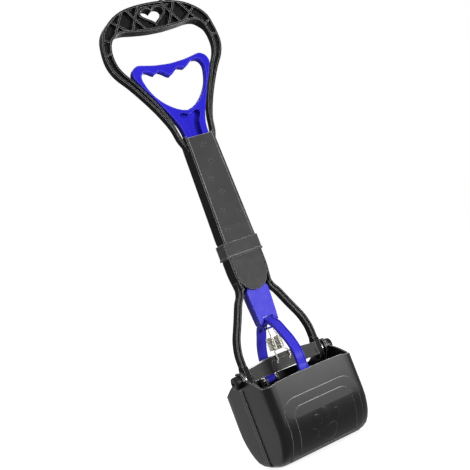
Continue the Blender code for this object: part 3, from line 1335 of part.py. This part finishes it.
def build_spring(name, side):
    """One tension spring as a single unbroken tube."""
    points = spring_path(side)
    curve = bpy.data.curves.new(name, "CURVE")
    curve.dimensions = "3D"
    curve.bevel_depth = SPRING_WIRE_RADIUS
    curve.bevel_resolution = 1
    curve.use_fill_caps = True
    line = curve.splines.new("POLY")
    line.points.add(len(points) - 1)
    for slot, point in zip(line.points, points):
        slot.co = (*point, 1.0)
    print(name, "least gap to itself", round(least_gap(points) / MM, 3), "mm")
    made = bpy.data.objects.new(name, curve)
    bpy.context.scene.collection.objects.link(made)
    return name_piece(made, name, steel(name + "_steel"))


def carry(name, location, pieces):
    """Hang pieces from an empty on their joint's axis without moving them."""
    empty = bpy.data.objects.new(name, None)
    bpy.context.scene.collection.objects.link(empty)
    empty.location = location
    for piece in pieces:
        piece.data.transform(Matrix.Translation(-Vector(location)))
        piece.parent = empty
    return empty


def build_scooper():
    """Build every piece and hang the moving ones on their joints' axes."""
    fold = (0.0, FOLD_Y, FOLD_HEIGHT)
    axle = (0.0, 0.0, AXLE_HEIGHT)
    cover_screws = [build_screw(name, place) for name, place in zip(COVER_SCREW_NAMES, cover_screw_places())]
    handle = carry("fold_axis", fold, [build_handle_frame(), build_front_cover(), *cover_screws])
    collar = carry("collar_slide", fold, [build_lock_collar()])
    trigger = carry("trigger_slide", fold, [build_trigger()])
    for empty in (collar, trigger):
        empty.parent = handle
        empty.location = (0.0, 0.0, 0.0)
    cheek_outer = link_cheek_inner() + LINK_CHEEK
    pivot = (0.0, 0.0, PIVOT_HEIGHT)
    pull = carry("pull_slide", pivot, [
        build_pull_rod(), pin("rod_link_pin", fold[1:], LINK_PIN_RADIUS, cheek_outer),
        pin("front_arm_pin", arm_pin_places()[0], ARM_PIN_RADIUS, BOX_FOOT_HALF_WIDTH - WELD),
        pin("rear_arm_pin", arm_pin_places()[1], ARM_PIN_RADIUS, BOX_FOOT_HALF_WIDTH - WELD)])
    pin_half = ARM_HALF_WIDTH + JAW_LUG_GAP + JAW_LUG_THICKNESS + WELD
    for name, side in (("front", -1), ("rear", 1)):
        eye = (side * EYE_Y, EYE_HEIGHT)
        hinge = (0.0, side * PIVOT_Y, PIVOT_HEIGHT)
        swing = carry(name + "_arm_axis", hinge, [
            build_arm(name + "_arm", side), pin(name + "_jaw_pin", eye, EYE_PIN_RADIUS, pin_half)])
        swing.parent = pull
        swing.location = Vector(hinge) - Vector(pivot)
    carry("front_jaw_axis", axle, [build_front_jaw()])
    carry("rear_jaw_axis", axle, [build_rear_jaw()])
    build_fork_frame()
    build_front_plate()
    build_crossbar()
    for name, side, place in zip(("left", "right"), (-1, 1), plate_screw_places()):
        build_screw(name + "_plate_screw", place)
        build_washer(name + "_hinge_washer", side)
        fold_pin(name + "_fold_pin", side)
        build_bolt(name + "_hinge_bolt", side)
        build_nut(name + "_hinge_nut", side)
        build_spring(name + "_spring", side)


clear_scene()
build_scooper()
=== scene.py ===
"""Looks of the folding pooper scooper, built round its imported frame."""

import json
from math import cos, pi, radians, sin

import bmesh
import bpy
from mathutils import Matrix, Vector
from mathutils.bvhtree import BVHTree

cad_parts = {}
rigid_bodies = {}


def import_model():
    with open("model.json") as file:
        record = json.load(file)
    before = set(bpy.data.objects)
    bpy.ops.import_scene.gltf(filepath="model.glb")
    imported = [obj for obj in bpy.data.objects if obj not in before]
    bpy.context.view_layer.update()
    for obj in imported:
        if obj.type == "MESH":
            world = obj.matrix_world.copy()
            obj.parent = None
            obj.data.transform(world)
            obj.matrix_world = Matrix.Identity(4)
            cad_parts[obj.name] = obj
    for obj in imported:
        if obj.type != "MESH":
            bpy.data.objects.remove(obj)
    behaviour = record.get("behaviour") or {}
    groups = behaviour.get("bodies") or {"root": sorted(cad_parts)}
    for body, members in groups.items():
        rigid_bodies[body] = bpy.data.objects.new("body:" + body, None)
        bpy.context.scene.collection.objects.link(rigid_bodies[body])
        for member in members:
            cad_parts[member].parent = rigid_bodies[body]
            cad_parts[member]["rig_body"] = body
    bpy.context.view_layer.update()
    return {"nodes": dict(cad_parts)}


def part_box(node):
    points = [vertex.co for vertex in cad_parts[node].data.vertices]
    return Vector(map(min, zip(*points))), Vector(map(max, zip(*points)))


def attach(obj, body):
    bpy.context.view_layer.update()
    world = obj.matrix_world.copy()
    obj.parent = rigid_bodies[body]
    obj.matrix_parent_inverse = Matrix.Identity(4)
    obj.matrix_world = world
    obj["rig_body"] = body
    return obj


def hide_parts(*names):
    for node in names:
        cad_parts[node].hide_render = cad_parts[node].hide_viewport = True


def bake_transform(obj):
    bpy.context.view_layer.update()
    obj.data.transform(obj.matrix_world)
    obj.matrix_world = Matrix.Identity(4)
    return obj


MM = 0.001

# Camera of the photograph: where it stands round the object and how it is turned
PHOTO_PIXELS = 470
FOCAL_PIXELS = 932.46
CAMERA_AZIMUTH = -28.52
CAMERA_ELEVATION = -4.22
CAMERA_ROLL = -20.89
CAMERA_DISTANCE = 1179.6 * MM
CAMERA_SHIFT_RIGHT = 1.27 * MM
CAMERA_SHIFT_UP = -17.55 * MM
CAMERA_AIM = Vector((0.0, 0.0, 302.0 * MM))
SENSOR = 36.0

# Softboxes: name, place, point that they look at, width and height, all in metres, and watts
LIGHTS = [
    ("key_light", (0.75, -1.35, 0.17), (0.0, 0.0, 0.13), 0.45, 0.32, 26.0),
    ("grip_light", (0.30, -1.40, 0.95), (0.0, 0.0, 0.57), 0.4, 0.4, 8.0),
    ("top_light", (0.2, -0.3, 1.9), (0.0, 0.0, 0.3), 0.8, 0.8, 4.0),
    ("left_light", (-1.6, -0.3, 0.6), (0.0, 0.0, 0.3), 0.9, 0.9, 8.0),
    ("back_light", (0.6, 1.6, 0.8), (0.0, 0.0, 0.3), 0.9, 0.9, 22.0),
]
# Level of the surroundings' light on the object, while the camera and reflections see them as white
AMBIENT = 0.30

# Floor: half its side, its tones, and its own glow near the object and far from it, which keeps the floor
# white far away and the shadow near the object
FLOOR_REACH = 8.0
FLOOR_DARK = (0.36,) * 3
FLOOR_LIGHT = (0.38,) * 3
FLOOR_CLOUD_SCALE = 3.0
FLOOR_GLOW_NEAR = 0.84
FLOOR_GLOW_FAR = 1.0
FLOOR_NEAR = 0.7
FLOOR_FAR = 2.2

# Finer copies of the nodes: how points are merged, which faces are joined and how far edges are rounded
MERGE = 0.01 * MM
FLAT_ANGLE = radians(0.4)
EDGE_ANGLE = radians(28)
MOULDED_EDGE = 0.60 * MM
SMALL_EDGE = 0.25 * MM

# Pocket in the trigger's neck: its floor in the solid, how much deeper it is on the real object, and how
# near to that floor a point lies that moves with it
POCKET_FLOOR = -2.0 * MM
POCKET_DEEPER = 5.0 * MM
POCKET_REACH = 0.2 * MM

# Springs, with heights counted from the axle: their curls, the crossbar's holes that they hook into, and
# the rod's bar that they hook over
AXLE_HEIGHT = 112.5 * MM
SPRING_X = 5.5 * MM
SPRING_RADIUS = 4.5 * MM
SPRING_WIRE_RADIUS = 0.7 * MM
SPRING_PITCH = 1.86 * MM
SPRING_TURNS = 9
SPRING_BASE = AXLE_HEIGHT + 19.0 * MM
SPRING_HOLE_X = 9.4 * MM
SPRING_HOLE_HEIGHT = AXLE_HEIGHT + 5.0 * MM
SPRING_HOLE_FACE = -8.0 * MM
SPRING_HOLE_DEPTH = 1.2 * MM
SPRING_CLEAR = 0.3 * MM
SPRING_HOOK_X = 4.0 * MM
SPRING_BAR_HEIGHT = AXLE_HEIGHT + 47.5 * MM
SPRING_BAR_CLEAR = 2.5 * MM
CURL_POINTS = 8
HOOK_STEPS = 5
HOOK_TURN = radians(160)

# Raised paw prints on the cover and the large one on the front jaw: place across, height and turn, in
# millimetres and degrees
COVER_PRINTS = [
    (0.0, 404.5, 12), (1.5, 382.0, -14), (-7.7, 360.0, 12), (0.1, 340.7, -14),
    (-8.5, 317.0, 10), (11.5, 310.0, -12), (5.8, 292.7, -10), (-11.5, 291.5, 12),
]
PRINT_SIZE = 9.5 * MM
PRINT_HEIGHT = 0.4 * MM
JAW_PRINT = (-2.0, 29.0, 20)
JAW_PRINT_SIZE = 50.0 * MM
JAW_PRINT_HEIGHT = 0.35 * MM
# Pads of a print: place, half width and half height as shares of its size, turn in degrees, and how far
# a pad is lobed
PAW_PADS = [
    (0.0, -0.17, 0.25, 0.21, 0.0, 0.16), (-0.37, 0.09, 0.095, 0.135, 24.0, 0.0),
    (-0.135, 0.31, 0.10, 0.145, 8.0, 0.0), (0.135, 0.31, 0.10, 0.145, -8.0, 0.0),
    (0.37, 0.09, 0.095, 0.135, -24.0, 0.0),
]
# Section of a pad from its foot inwards: share of its size and share of its height
PAD_SECTION = [(1.0, -0.3), (0.97, 0.35), (0.9, 0.85), (0.78, 1.0), (0.4, 1.0)]
PAD_POINTS = 20
PAD_LOBES = 3
LOBE_SWING_SHARE = 0.6
LOBE_LOSS_SHARE = 0.4
# Where the rays that find a front face start, in metres in front of the object
RAY_START = -1.0

# Moulding line down the front of the rod's box: its ends, and its section as shares of its half width
# and height
ROD_LINE_FOOT = (-0.4 * MM, 182.5 * MM)
ROD_LINE_TOP = (1.5 * MM, 204.0 * MM)
ROD_LINE_HALF_WIDTH = 0.35 * MM
ROD_LINE_HEIGHT = 0.15 * MM
ROD_LINE_SECTION = [(-1.0, -1.0), (-0.5, 1.0), (0.5, 1.0), (1.0, -1.0)]

# Plastics: dark and light tone, lowest and highest roughness, specular level and strength of the grain
DEEP_BLACK = ((0.010,) * 3, (0.015,) * 3, (0.28, 0.36), 0.006, 0.20)
SATIN_BLACK = ((0.028,) * 3, (0.035,) * 3, (0.40, 0.48), 0.05, 0.30)
SMOOTH_BLACK = ((0.004,) * 3, (0.006,) * 3, (0.30, 0.33), 0.11, 0.10)
ROD_BLUE = ((0.030, 0.025, 0.400), (0.038, 0.032, 0.460), (0.28, 0.34), 0.030, 0.15)
GRIP_BLUE = ((0.016, 0.012, 0.370), (0.021, 0.016, 0.430), (0.34, 0.40), 0.012, 0.15)
# Colours of the painted highlights along the plastics' edges, lighter than the plastic where light would
# catch them
DEEP_EDGE_HIGHLIGHT = (0.420,) * 3
SATIN_EDGE_HIGHLIGHT = (0.550,) * 3
RAISED_EDGE_HIGHLIGHT = (0.700,) * 3
SMOOTH_EDGE_HIGHLIGHT = (0.620,) * 3
PRINT_EDGE_HIGHLIGHT = (0.045,) * 3
ROD_BLUE_EDGE_HIGHLIGHT = (0.300, 0.280, 0.900)
GRIP_BLUE_EDGE_HIGHLIGHT = (0.160, 0.150, 0.750)
# Steels: dark and light tone, lowest and highest roughness
PLATED_STEEL = ((0.46, 0.46, 0.46), (0.74, 0.74, 0.73), (0.18, 0.34))
SPRING_STEEL = ((0.22, 0.21, 0.17), (0.46, 0.45, 0.38), (0.22, 0.36))

# Textures of plastic, scales in cycles per metre: cloudy tone, gloss, slight sink waves and fine grain
CLOUD_SCALE = 22.0
GLOSS_SCALE = 90.0
WAVE_SCALE = 14.0
WAVE_DEPTH = 1.2 * MM
WAVE_STRENGTH = 0.2
GRAIN_SCALE = 1500.0
GRAIN_DEPTH = 0.06 * MM

# Painted highlights along edges, hollow and outer alike: how broad they are, how uneven, down to which
# share of their colour, and the cosines between rounded and true normal at which they show fully and not at
# all
EDGE_HIGHLIGHT_WIDTH = 0.75 * MM
EDGE_HIGHLIGHT_UNEVEN_SCALE = 60.0
EDGE_LOW = 0.8
EDGE_SAMPLES = 16
EDGE_FULL = 0.80
EDGE_NONE = 0.995

# Textures of steel: dull patches, gloss, and drawing marks that are finer along the height
PATCH_SCALE = 300.0
SHEEN_SCALE = 700.0
MARK_SCALE = 900.0
MARK_SQUEEZE = (1.0, 1.0, 12.0)
MARK_DEPTH = 0.04 * MM
MARK_STRENGTH = 0.5

# Sockets of a mix node for colours, which have the same names as its sockets for numbers
MIX_FIRST = 6
MIX_SECOND = 7
MIX_RESULT = 2

# Which finish each node has; what isn't named here is deep black plastic
BLUE_NODES = ("pull_rod", "front_arm", "rear_arm")
SATIN_NODES = ("shaft_front_cover", "lower_front_plate", "lock_collar", "crossbar")
SMOOTH_NODES = ("front_jaw", "rear_jaw", "left_hinge_bolt", "right_hinge_bolt")
STEEL_WORDS = ("screw", "pin", "nut", "washer")
SPRING_NODES = ("left_spring", "right_spring")
# Shells whose flat faces aren't joined, because that would close their open side
SHELL_NODES = ("front_jaw", "rear_jaw")

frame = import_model()


def new_object(name, data):
    """A new object in the scene."""
    thing = bpy.data.objects.new(name, data)
    bpy.context.scene.collection.objects.link(thing)
    return thing


def object_of(name, shape):
    """A new object with the mesh of a shape, which is used up."""
    mesh = bpy.data.meshes.new(name)
    shape.to_mesh(mesh)
    shape.free()
    return new_object(name, mesh)


def join_rings(shape, low, high):
    """Add the faces between two rings of points."""
    for i in range(len(low)):
        j = (i + 1) % len(low)
        shape.faces.new((low[i], low[j], high[j], high[i]))


def camera_axes():
    """Level right, level up and back directions of the photograph's camera."""
    azimuth, elevation = radians(CAMERA_AZIMUTH), radians(CAMERA_ELEVATION)
    back = Vector((sin(azimuth) * cos(elevation), -cos(azimuth) * cos(elevation), sin(elevation)))
    right = Vector((0.0, 0.0, 1.0)).cross(back).normalized()
    return right, back.cross(right), back


def make_camera():
    """The photograph's camera."""
    data = bpy.data.cameras.new("camera")
    data.sensor_width = SENSOR
    data.lens = FOCAL_PIXELS * SENSOR / PHOTO_PIXELS
    data.clip_start = 0.01
    data.clip_end = 50.0
    camera = new_object("camera", data)
    right, up, back = camera_axes()
    place = CAMERA_AIM + back * CAMERA_DISTANCE + right * CAMERA_SHIFT_RIGHT + up * CAMERA_SHIFT_UP
    roll = radians(CAMERA_ROLL)
    rolled_right = cos(roll) * right + sin(roll) * up
    rolled_up = cos(roll) * up - sin(roll) * right
    turn = Matrix((rolled_right, rolled_up, back)).transposed()
    camera.matrix_world = Matrix.Translation(place) @ turn.to_4x4()
    bpy.context.scene.camera = camera


def node_of(tree, kind, **inputs):
    """Add a shader node and set its named inputs, whose spaces are written as underscores."""
    node = tree.nodes.new(kind)
    for name, value in inputs.items():
        socket = node.inputs[name.replace("_", " ")]
        if isinstance(value, bpy.types.NodeSocket):
            tree.links.new(value, socket)
        else:
            socket.default_value = value
    return node


def arithmetic(tree, operation, first, second):
    """Sum or product of two numbers or sockets, kept between 0 and 1."""
    node = tree.nodes.new("ShaderNodeMath")
    node.operation = operation
    node.use_clamp = True
    for socket, value in zip(node.inputs, (first, second)):
        if isinstance(value, bpy.types.NodeSocket):
            tree.links.new(value, socket)
        else:
            socket.default_value = value
    return node.outputs[0]


def start_material(name):
    """A new material with its tree, its shader and its object coordinates."""
    material = bpy.data.materials.new(name)
    material.use_nodes = True
    tree = material.node_tree
    place = node_of(tree, "ShaderNodeTexCoord").outputs["Object"]
    return material, tree, tree.nodes["Principled BSDF"], place


def noise(tree, place, scale, detail=2.0):
    """Noise between 0 and 1, scale in cycles per metre."""
    return node_of(tree, "ShaderNodeTexNoise", Vector=place, Scale=scale, Detail=detail).outputs[0]


def spread(tree, value, low, high, start=0.35, end=0.65):
    """Map a range, which is the usual one of noise unless it is given, onto another."""
    return node_of(tree, "ShaderNodeMapRange", Value=value, From_Min=start, From_Max=end,
                   To_Min=low, To_Max=high).outputs[0]


def blend_colours(tree, value, first, second):
    """Colour between two by a number."""
    mix = tree.nodes.new("ShaderNodeMix")
    mix.data_type = "RGBA"
    tree.links.new(value, mix.inputs["Factor"])
    for socket, colour in ((mix.inputs[MIX_FIRST], first), (mix.inputs[MIX_SECOND], second)):
        if isinstance(colour, bpy.types.NodeSocket):
            tree.links.new(colour, socket)
        else:
            socket.default_value = (*colour, 1.0)
    return mix.outputs[MIX_RESULT]


def bump(tree, height, distance, strength, normal=None):
    """Bump a surface, or a surface that is bumped already, by a height."""
    node = node_of(tree, "ShaderNodeBump", Height=height, Distance=distance, Strength=strength)
    if normal is not None:
        tree.links.new(normal, node.inputs["Normal"])
    return node.outputs[0]


def edge_mask(tree):
    """1 along sharp edges and 0 on open faces."""
    bevel = tree.nodes.new("ShaderNodeBevel")
    bevel.samples = EDGE_SAMPLES
    bevel.inputs["Radius"].default_value = EDGE_HIGHLIGHT_WIDTH
    true_normal = tree.nodes.new("ShaderNodeNewGeometry").outputs["Normal"]
    dot = tree.nodes.new("ShaderNodeVectorMath")
    dot.operation = "DOT_PRODUCT"
    tree.links.new(bevel.outputs[0], dot.inputs[0])
    tree.links.new(true_normal, dot.inputs[1])
    return spread(tree, dot.outputs["Value"], 1.0, 0.0, EDGE_FULL, EDGE_NONE)


def moulded_plastic(name, dark, light, rough, specular, grain, edge=None):
    """Moulded plastic, with a painted highlight along its edges, uneven along them, where its colour is
    given.
    """
    material, tree, shader, place = start_material(name)
    clouds = spread(tree, noise(tree, place, CLOUD_SCALE, detail=3.0), 0.0, 1.0)
    tone = blend_colours(tree, clouds, dark, light)
    if edge:
        # painted highlight: edges, hollow ones too, take the lighter edge colour, a little unevenly along
        # them
        edge_highlight_unevenness = spread(tree, noise(tree, place, EDGE_HIGHLIGHT_UNEVEN_SCALE), EDGE_LOW, 1.0)
        tone = blend_colours(tree, arithmetic(tree, "MULTIPLY", edge_mask(tree), edge_highlight_unevenness), tone, edge)
    tree.links.new(tone, shader.inputs["Base Color"])
    gloss = spread(tree, noise(tree, place, GLOSS_SCALE, detail=4.0), *rough)
    tree.links.new(gloss, shader.inputs["Roughness"])
    waves = bump(tree, noise(tree, place, WAVE_SCALE, detail=1.0), WAVE_DEPTH, WAVE_STRENGTH)
    fine = bump(tree, noise(tree, place, GRAIN_SCALE), GRAIN_DEPTH, grain, waves)
    tree.links.new(fine, shader.inputs["Normal"])
    shader.inputs["Specular IOR Level"].default_value = specular
    return material


def with_edge(name, dark, light, rough, specular, grain, edge):
    """A moulded plastic, and a copy of it painted lighter as a highlight for the faces of its rounded
    edges.
    """
    edge_dark = tuple(EDGE_LOW * tone for tone in edge)
    # painted highlight: the faces of the rounded edges take this lighter copy
    painted_edge_highlight = moulded_plastic(name + "_edge", edge_dark, edge, rough, specular, grain)
    return moulded_plastic(name, dark, light, rough, specular, grain), painted_edge_highlight


def steel_of(name, dark, light, rough):
    """Drawn steel with fine marks and dull patches."""
    material, tree, shader, place = start_material(name)
    patches = spread(tree, noise(tree, place, PATCH_SCALE, detail=3.0), 0.0, 1.0)
    tree.links.new(blend_colours(tree, patches, dark, light), shader.inputs["Base Color"])
    gloss = spread(tree, noise(tree, place, SHEEN_SCALE), *rough)
    tree.links.new(gloss, shader.inputs["Roughness"])
    squeezed = node_of(tree, "ShaderNodeMapping", Vector=place, Scale=MARK_SQUEEZE)
    marks = noise(tree, squeezed.outputs[0], MARK_SCALE)
    tree.links.new(bump(tree, marks, MARK_DEPTH, MARK_STRENGTH), shader.inputs["Normal"])
    shader.inputs["Metallic"].default_value = 1.0
    return material


def dress(piece, materials):
    """Give a piece the material of its faces, that of its rounded edges where it has any."""
    piece.data.materials.clear()
    for material in materials:
        piece.data.materials.append(material)


def deepen_pocket(shape):
    """Move the floor of the trigger's pocket back to its real depth."""
    for point in shape.verts:
        if abs(point.co.y - POCKET_FLOOR) < POCKET_REACH:
            point.co.y += POCKET_DEEPER


def refined(name, width):
    """A finer copy of a node, its flat faces whole and its edges rounded in its second material."""
    source = frame["nodes"][name]
    shape = bmesh.new()
    shape.from_mesh(source.data)
    bmesh.ops.remove_doubles(shape, verts=shape.verts, dist=MERGE)
    if name not in SHELL_NODES:
        bmesh.ops.dissolve_limit(shape, angle_limit=FLAT_ANGLE, verts=shape.verts, edges=shape.edges)
    if name == "trigger":
        deepen_pocket(shape)
    piece = object_of(name + "_finished", shape)
    mesh = piece.data
    mesh.polygons.foreach_set("material_index", [0] * len(mesh.polygons))
    if "custom_normal" in mesh.attributes:
        mesh.attributes.remove(mesh.attributes["custom_normal"])
    mesh.shade_smooth()
    rounding = piece.modifiers.new("rounded_edges", "BEVEL")
    rounding.limit_method = "ANGLE"
    rounding.angle_limit = EDGE_ANGLE
    rounding.width = width
    rounding.segments = 2
    rounding.material = 1
    rounding.use_clamp_overlap = True
    normals = piece.modifiers.new("even_shading", "WEIGHTED_NORMAL")
    normals.keep_sharp = False
    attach(piece, source["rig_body"])
    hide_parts(name)
    return piece


def spring_points(side):
    """Centre line of a tension spring: bottom hook, close curls, top hook over the rod's bar."""
    x = side * SPRING_X
    hole_x = side * SPRING_HOLE_X
    lift = SPRING_RADIUS / 2
    front = SPRING_HOLE_FACE - lift / 2
    points = [
        (hole_x, SPRING_HOLE_FACE + SPRING_HOLE_DEPTH, SPRING_HOLE_HEIGHT),
        (hole_x, SPRING_HOLE_FACE, SPRING_HOLE_HEIGHT),
        (hole_x, front, SPRING_HOLE_HEIGHT + lift / 4),
        (hole_x, front - SPRING_CLEAR, SPRING_HOLE_HEIGHT + lift),
        (hole_x - side * SPRING_CLEAR, SPRING_HOLE_FACE - SPRING_CLEAR, SPRING_BASE - lift * 2),
        ((hole_x + x) / 2, -SPRING_RADIUS - SPRING_CLEAR, SPRING_BASE - lift / 2),
    ]
    for i in range(SPRING_TURNS * CURL_POINTS + 1):
        turn = -pi / 2 - side * 2 * pi * i / CURL_POINTS
        points.append((x + SPRING_RADIUS * cos(turn), SPRING_RADIUS * sin(turn),
                       SPRING_BASE + SPRING_PITCH * i / CURL_POINTS))
    top = SPRING_BASE + SPRING_TURNS * SPRING_PITCH
    hook_x = side * SPRING_HOOK_X
    points.append(((x + hook_x) / 2, -SPRING_RADIUS + SPRING_CLEAR, top + SPRING_PITCH))
    points.append((hook_x, -SPRING_BAR_CLEAR, top + lift + SPRING_PITCH))
    for i in range(HOOK_STEPS + 1):
        turn = pi - HOOK_TURN * i / HOOK_STEPS
        points.append((hook_x, SPRING_BAR_CLEAR * cos(turn),
                       SPRING_BAR_HEIGHT + SPRING_BAR_CLEAR * sin(turn)))
    return points


def make_spring(name, side, materials):
    """One tension spring as a round wire that stretches between the crossbar and the rod."""
    points = spring_points(side)
    curve = bpy.data.curves.new(name + "_wire", "CURVE")
    curve.dimensions = "3D"
    curve.bevel_depth = SPRING_WIRE_RADIUS
    curve.bevel_resolution = 3
    curve.resolution_u = 4
    curve.use_fill_caps = True
    line = curve.splines.new("BEZIER")
    line.bezier_points.add(len(points) - 1)
    for knot, point in zip(line.bezier_points, points):
        knot.co = point
        knot.handle_left_type = knot.handle_right_type = "AUTO"
    drawn = new_object(name + "_line", curve)
    bpy.context.view_layer.update()
    mesh = bpy.data.meshes.new_from_object(drawn.evaluated_get(bpy.context.evaluated_depsgraph_get()))
    bpy.data.objects.remove(drawn)
    mesh.shade_smooth()
    spring = new_object(name + "_wire", mesh)
    dress(spring, materials)
    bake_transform(spring)
    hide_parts(name)


def pad_outline(size, pad, turn):
    """Outline of one pad of a print as offsets from the print's centre, and the pad's centre."""
    x, z, half_width, half_height, lean, lobes = pad
    lean, turn = radians(lean), radians(turn)
    points = []
    for i in range(PAD_POINTS):
        angle = 2 * pi * i / PAD_POINTS
        wave = cos(PAD_LOBES * (angle + pi / 2))
        reach = 1.0 + lobes * wave * LOBE_SWING_SHARE - lobes * LOBE_LOSS_SHARE
        side, rise = half_width * reach * cos(angle), half_height * reach * sin(angle)
        points.append((x + side * cos(lean) - rise * sin(lean), z + side * sin(lean) + rise * cos(lean)))
    placed = [(size * (u * cos(turn) - v * sin(turn)), size * (u * sin(turn) + v * cos(turn)))
              for u, v in [*points, (x, z)]]
    return placed[:-1], placed[-1]


def front_of(surface, x, z):
    """Place on a front face and the face's outward direction there."""
    place, normal, _, _ = surface.ray_cast(Vector((x, RAY_START, z)), Vector((0.0, 1.0, 0.0)))
    return place, normal


def make_prints(name, node, prints, size, height, materials):
    """Raised paw prints that follow the front face of a node."""
    source = frame["nodes"][node]
    corners = [vertex.co for vertex in source.data.vertices]
    surface = BVHTree.FromPolygons(corners, [polygon.vertices for polygon in source.data.polygons])
    shape = bmesh.new()
    for x, z, turn in prints:
        for pad in PAW_PADS:
            outline, middle = pad_outline(size, pad, turn)
            rings = []
            for share, rise in PAD_SECTION:
                ring = []
                for u, v in outline:
                    place, normal = front_of(surface, x * MM + middle[0] + share * (u - middle[0]),
                                             z * MM + middle[1] + share * (v - middle[1]))
                    ring.append(shape.verts.new(place + normal * rise * height))
                rings.append(ring)
            for low, high in zip(rings, rings[1:]):
                join_rings(shape, low, high)
            shape.faces.new(rings[-1])
            shape.faces.new(reversed(rings[0]))
    bmesh.ops.recalc_face_normals(shape, faces=shape.faces)
    piece = object_of(name, shape)
    piece.data.shade_smooth()
    dress(piece, materials)
    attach(piece, source["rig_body"])


def make_rod_line(materials):
    """Thin moulding line down the front face of the rod's box."""
    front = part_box("pull_rod")[0].y
    shape = bmesh.new()
    rows = []
    for x, z in (ROD_LINE_FOOT, ROD_LINE_TOP):
        rows.append([shape.verts.new((x + side * ROD_LINE_HALF_WIDTH, front - rise * ROD_LINE_HEIGHT, z))
                     for side, rise in ROD_LINE_SECTION])
    join_rings(shape, *rows)
    for row in rows:
        shape.faces.new(row)
    bmesh.ops.recalc_face_normals(shape, faces=shape.faces)
    piece = object_of("rod_moulding_line", shape)
    dress(piece, materials)
    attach(piece, frame["nodes"]["pull_rod"]["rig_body"])


def seen_directly(tree):
    """1 for rays from the camera, off gloss and through glass, and 0 for the light on the object."""
    rays = tree.nodes.new("ShaderNodeLightPath").outputs
    through = arithmetic(tree, "ADD", rays["Is Glossy Ray"], rays["Is Transmission Ray"])
    return arithmetic(tree, "ADD", rays["Is Camera Ray"], through)


def make_floor():
    """White floor that keeps the object's shadow."""
    reach = FLOOR_REACH
    mesh = bpy.data.meshes.new("floor")
    corners = [(-reach, -reach, 0.0), (reach, -reach, 0.0), (reach, reach, 0.0), (-reach, reach, 0.0)]
    mesh.from_pydata(corners, [], [(0, 1, 2, 3)])
    floor = new_object("floor", mesh)
    material, tree, shader, place = start_material("floor_white")
    clouds = spread(tree, noise(tree, place, FLOOR_CLOUD_SCALE), 0.0, 1.0)
    tree.links.new(blend_colours(tree, clouds, FLOOR_DARK, FLOOR_LIGHT), shader.inputs["Base Color"])
    shader.inputs["Roughness"].default_value = 0.9
    shader.inputs["Specular IOR Level"].default_value = 0.0
    shader.inputs["Emission Color"].default_value = (1.0, 1.0, 1.0, 1.0)
    away = tree.nodes.new("ShaderNodeVectorMath")
    away.operation = "LENGTH"
    tree.links.new(place, away.inputs[0])
    glow = spread(tree, away.outputs["Value"], FLOOR_GLOW_NEAR, FLOOR_GLOW_FAR, FLOOR_NEAR, FLOOR_FAR)
    seen_glow = arithmetic(tree, "MULTIPLY", glow, seen_directly(tree))
    tree.links.new(seen_glow, shader.inputs["Emission Strength"])
    floor.data.materials.append(material)


def make_world():
    """White surroundings for the eye and for reflections, and a plain level of ambient light."""
    world = bpy.data.worlds.new("studio")
    bpy.context.scene.world = world
    world.use_nodes = True
    tree = world.node_tree
    background = tree.nodes["Background"]
    background.inputs["Color"].default_value = (1.0, 1.0, 1.0, 1.0)
    tree.links.new(spread(tree, seen_directly(tree), AMBIENT, 1.0, 0.0, 1.0), background.inputs["Strength"])


def area_light(name, place, aim, width, height, watts):
    """A softbox that looks at a point."""
    data = bpy.data.lights.new(name, "AREA")
    data.shape = "RECTANGLE"
    data.size = width
    data.size_y = height
    data.energy = watts
    light = new_object(name, data)
    light.location = place
    light.rotation_mode = "QUATERNION"
    light.rotation_quaternion = (Vector(aim) - Vector(place)).to_track_quat("-Z", "Y")


def make_lights():
    """Soft studio light: a low key at the front right, and weaker ones on the grip, top, left and back."""
    for light in LIGHTS:
        area_light(*light)


def dress_nodes():
    """Replace the nodes with finer copies and give each its finish."""
    # A finer copy takes two materials, for its faces and its rounded edges, which can be the same one
    deep = (moulded_plastic("deep_black_plastic", *DEEP_BLACK, DEEP_EDGE_HIGHLIGHT),) * 2
    satin = with_edge("satin_black_plastic", *SATIN_BLACK, SATIN_EDGE_HIGHLIGHT)
    raised = (moulded_plastic("raised_black_plastic", *SATIN_BLACK, RAISED_EDGE_HIGHLIGHT),)
    smooth = (moulded_plastic("smooth_black_plastic", *SMOOTH_BLACK, SMOOTH_EDGE_HIGHLIGHT),) * 2
    plain = (moulded_plastic("print_black_plastic", *SMOOTH_BLACK, PRINT_EDGE_HIGHLIGHT),)
    blue = with_edge("blue_plastic", *ROD_BLUE, ROD_BLUE_EDGE_HIGHLIGHT)
    grip_blue = with_edge("trigger_blue_plastic", *GRIP_BLUE, GRIP_BLUE_EDGE_HIGHLIGHT)
    steel = (steel_of("plated_steel", *PLATED_STEEL),) * 2
    wire = (steel_of("spring_steel", *SPRING_STEEL),)
    for name in sorted(frame["nodes"]):
        if name in SPRING_NODES:
            make_spring(name, -1 if name.startswith("left") else 1, wire)
        elif any(word in name for word in STEEL_WORDS):
            dress(refined(name, SMALL_EDGE), steel)
        elif name == "trigger":
            dress(refined(name, MOULDED_EDGE), grip_blue)
        elif name in BLUE_NODES:
            dress(refined(name, MOULDED_EDGE), blue)
        elif name in SMOOTH_NODES:
            dress(refined(name, SMALL_EDGE), smooth)
        elif name in SATIN_NODES:
            dress(refined(name, MOULDED_EDGE), satin)
        else:
            dress(refined(name, SMALL_EDGE), deep)
    make_prints("cover_paw_prints", "shaft_front_cover", COVER_PRINTS, PRINT_SIZE, PRINT_HEIGHT, raised)
    make_prints("jaw_paw_print", "front_jaw", [JAW_PRINT], JAW_PRINT_SIZE, JAW_PRINT_HEIGHT, plain)
    make_rod_line(blue)


make_camera()
make_world()
make_lights()
make_floor()
dress_nodes()
bpy.context.scene.view_settings.view_transform = "Standard"
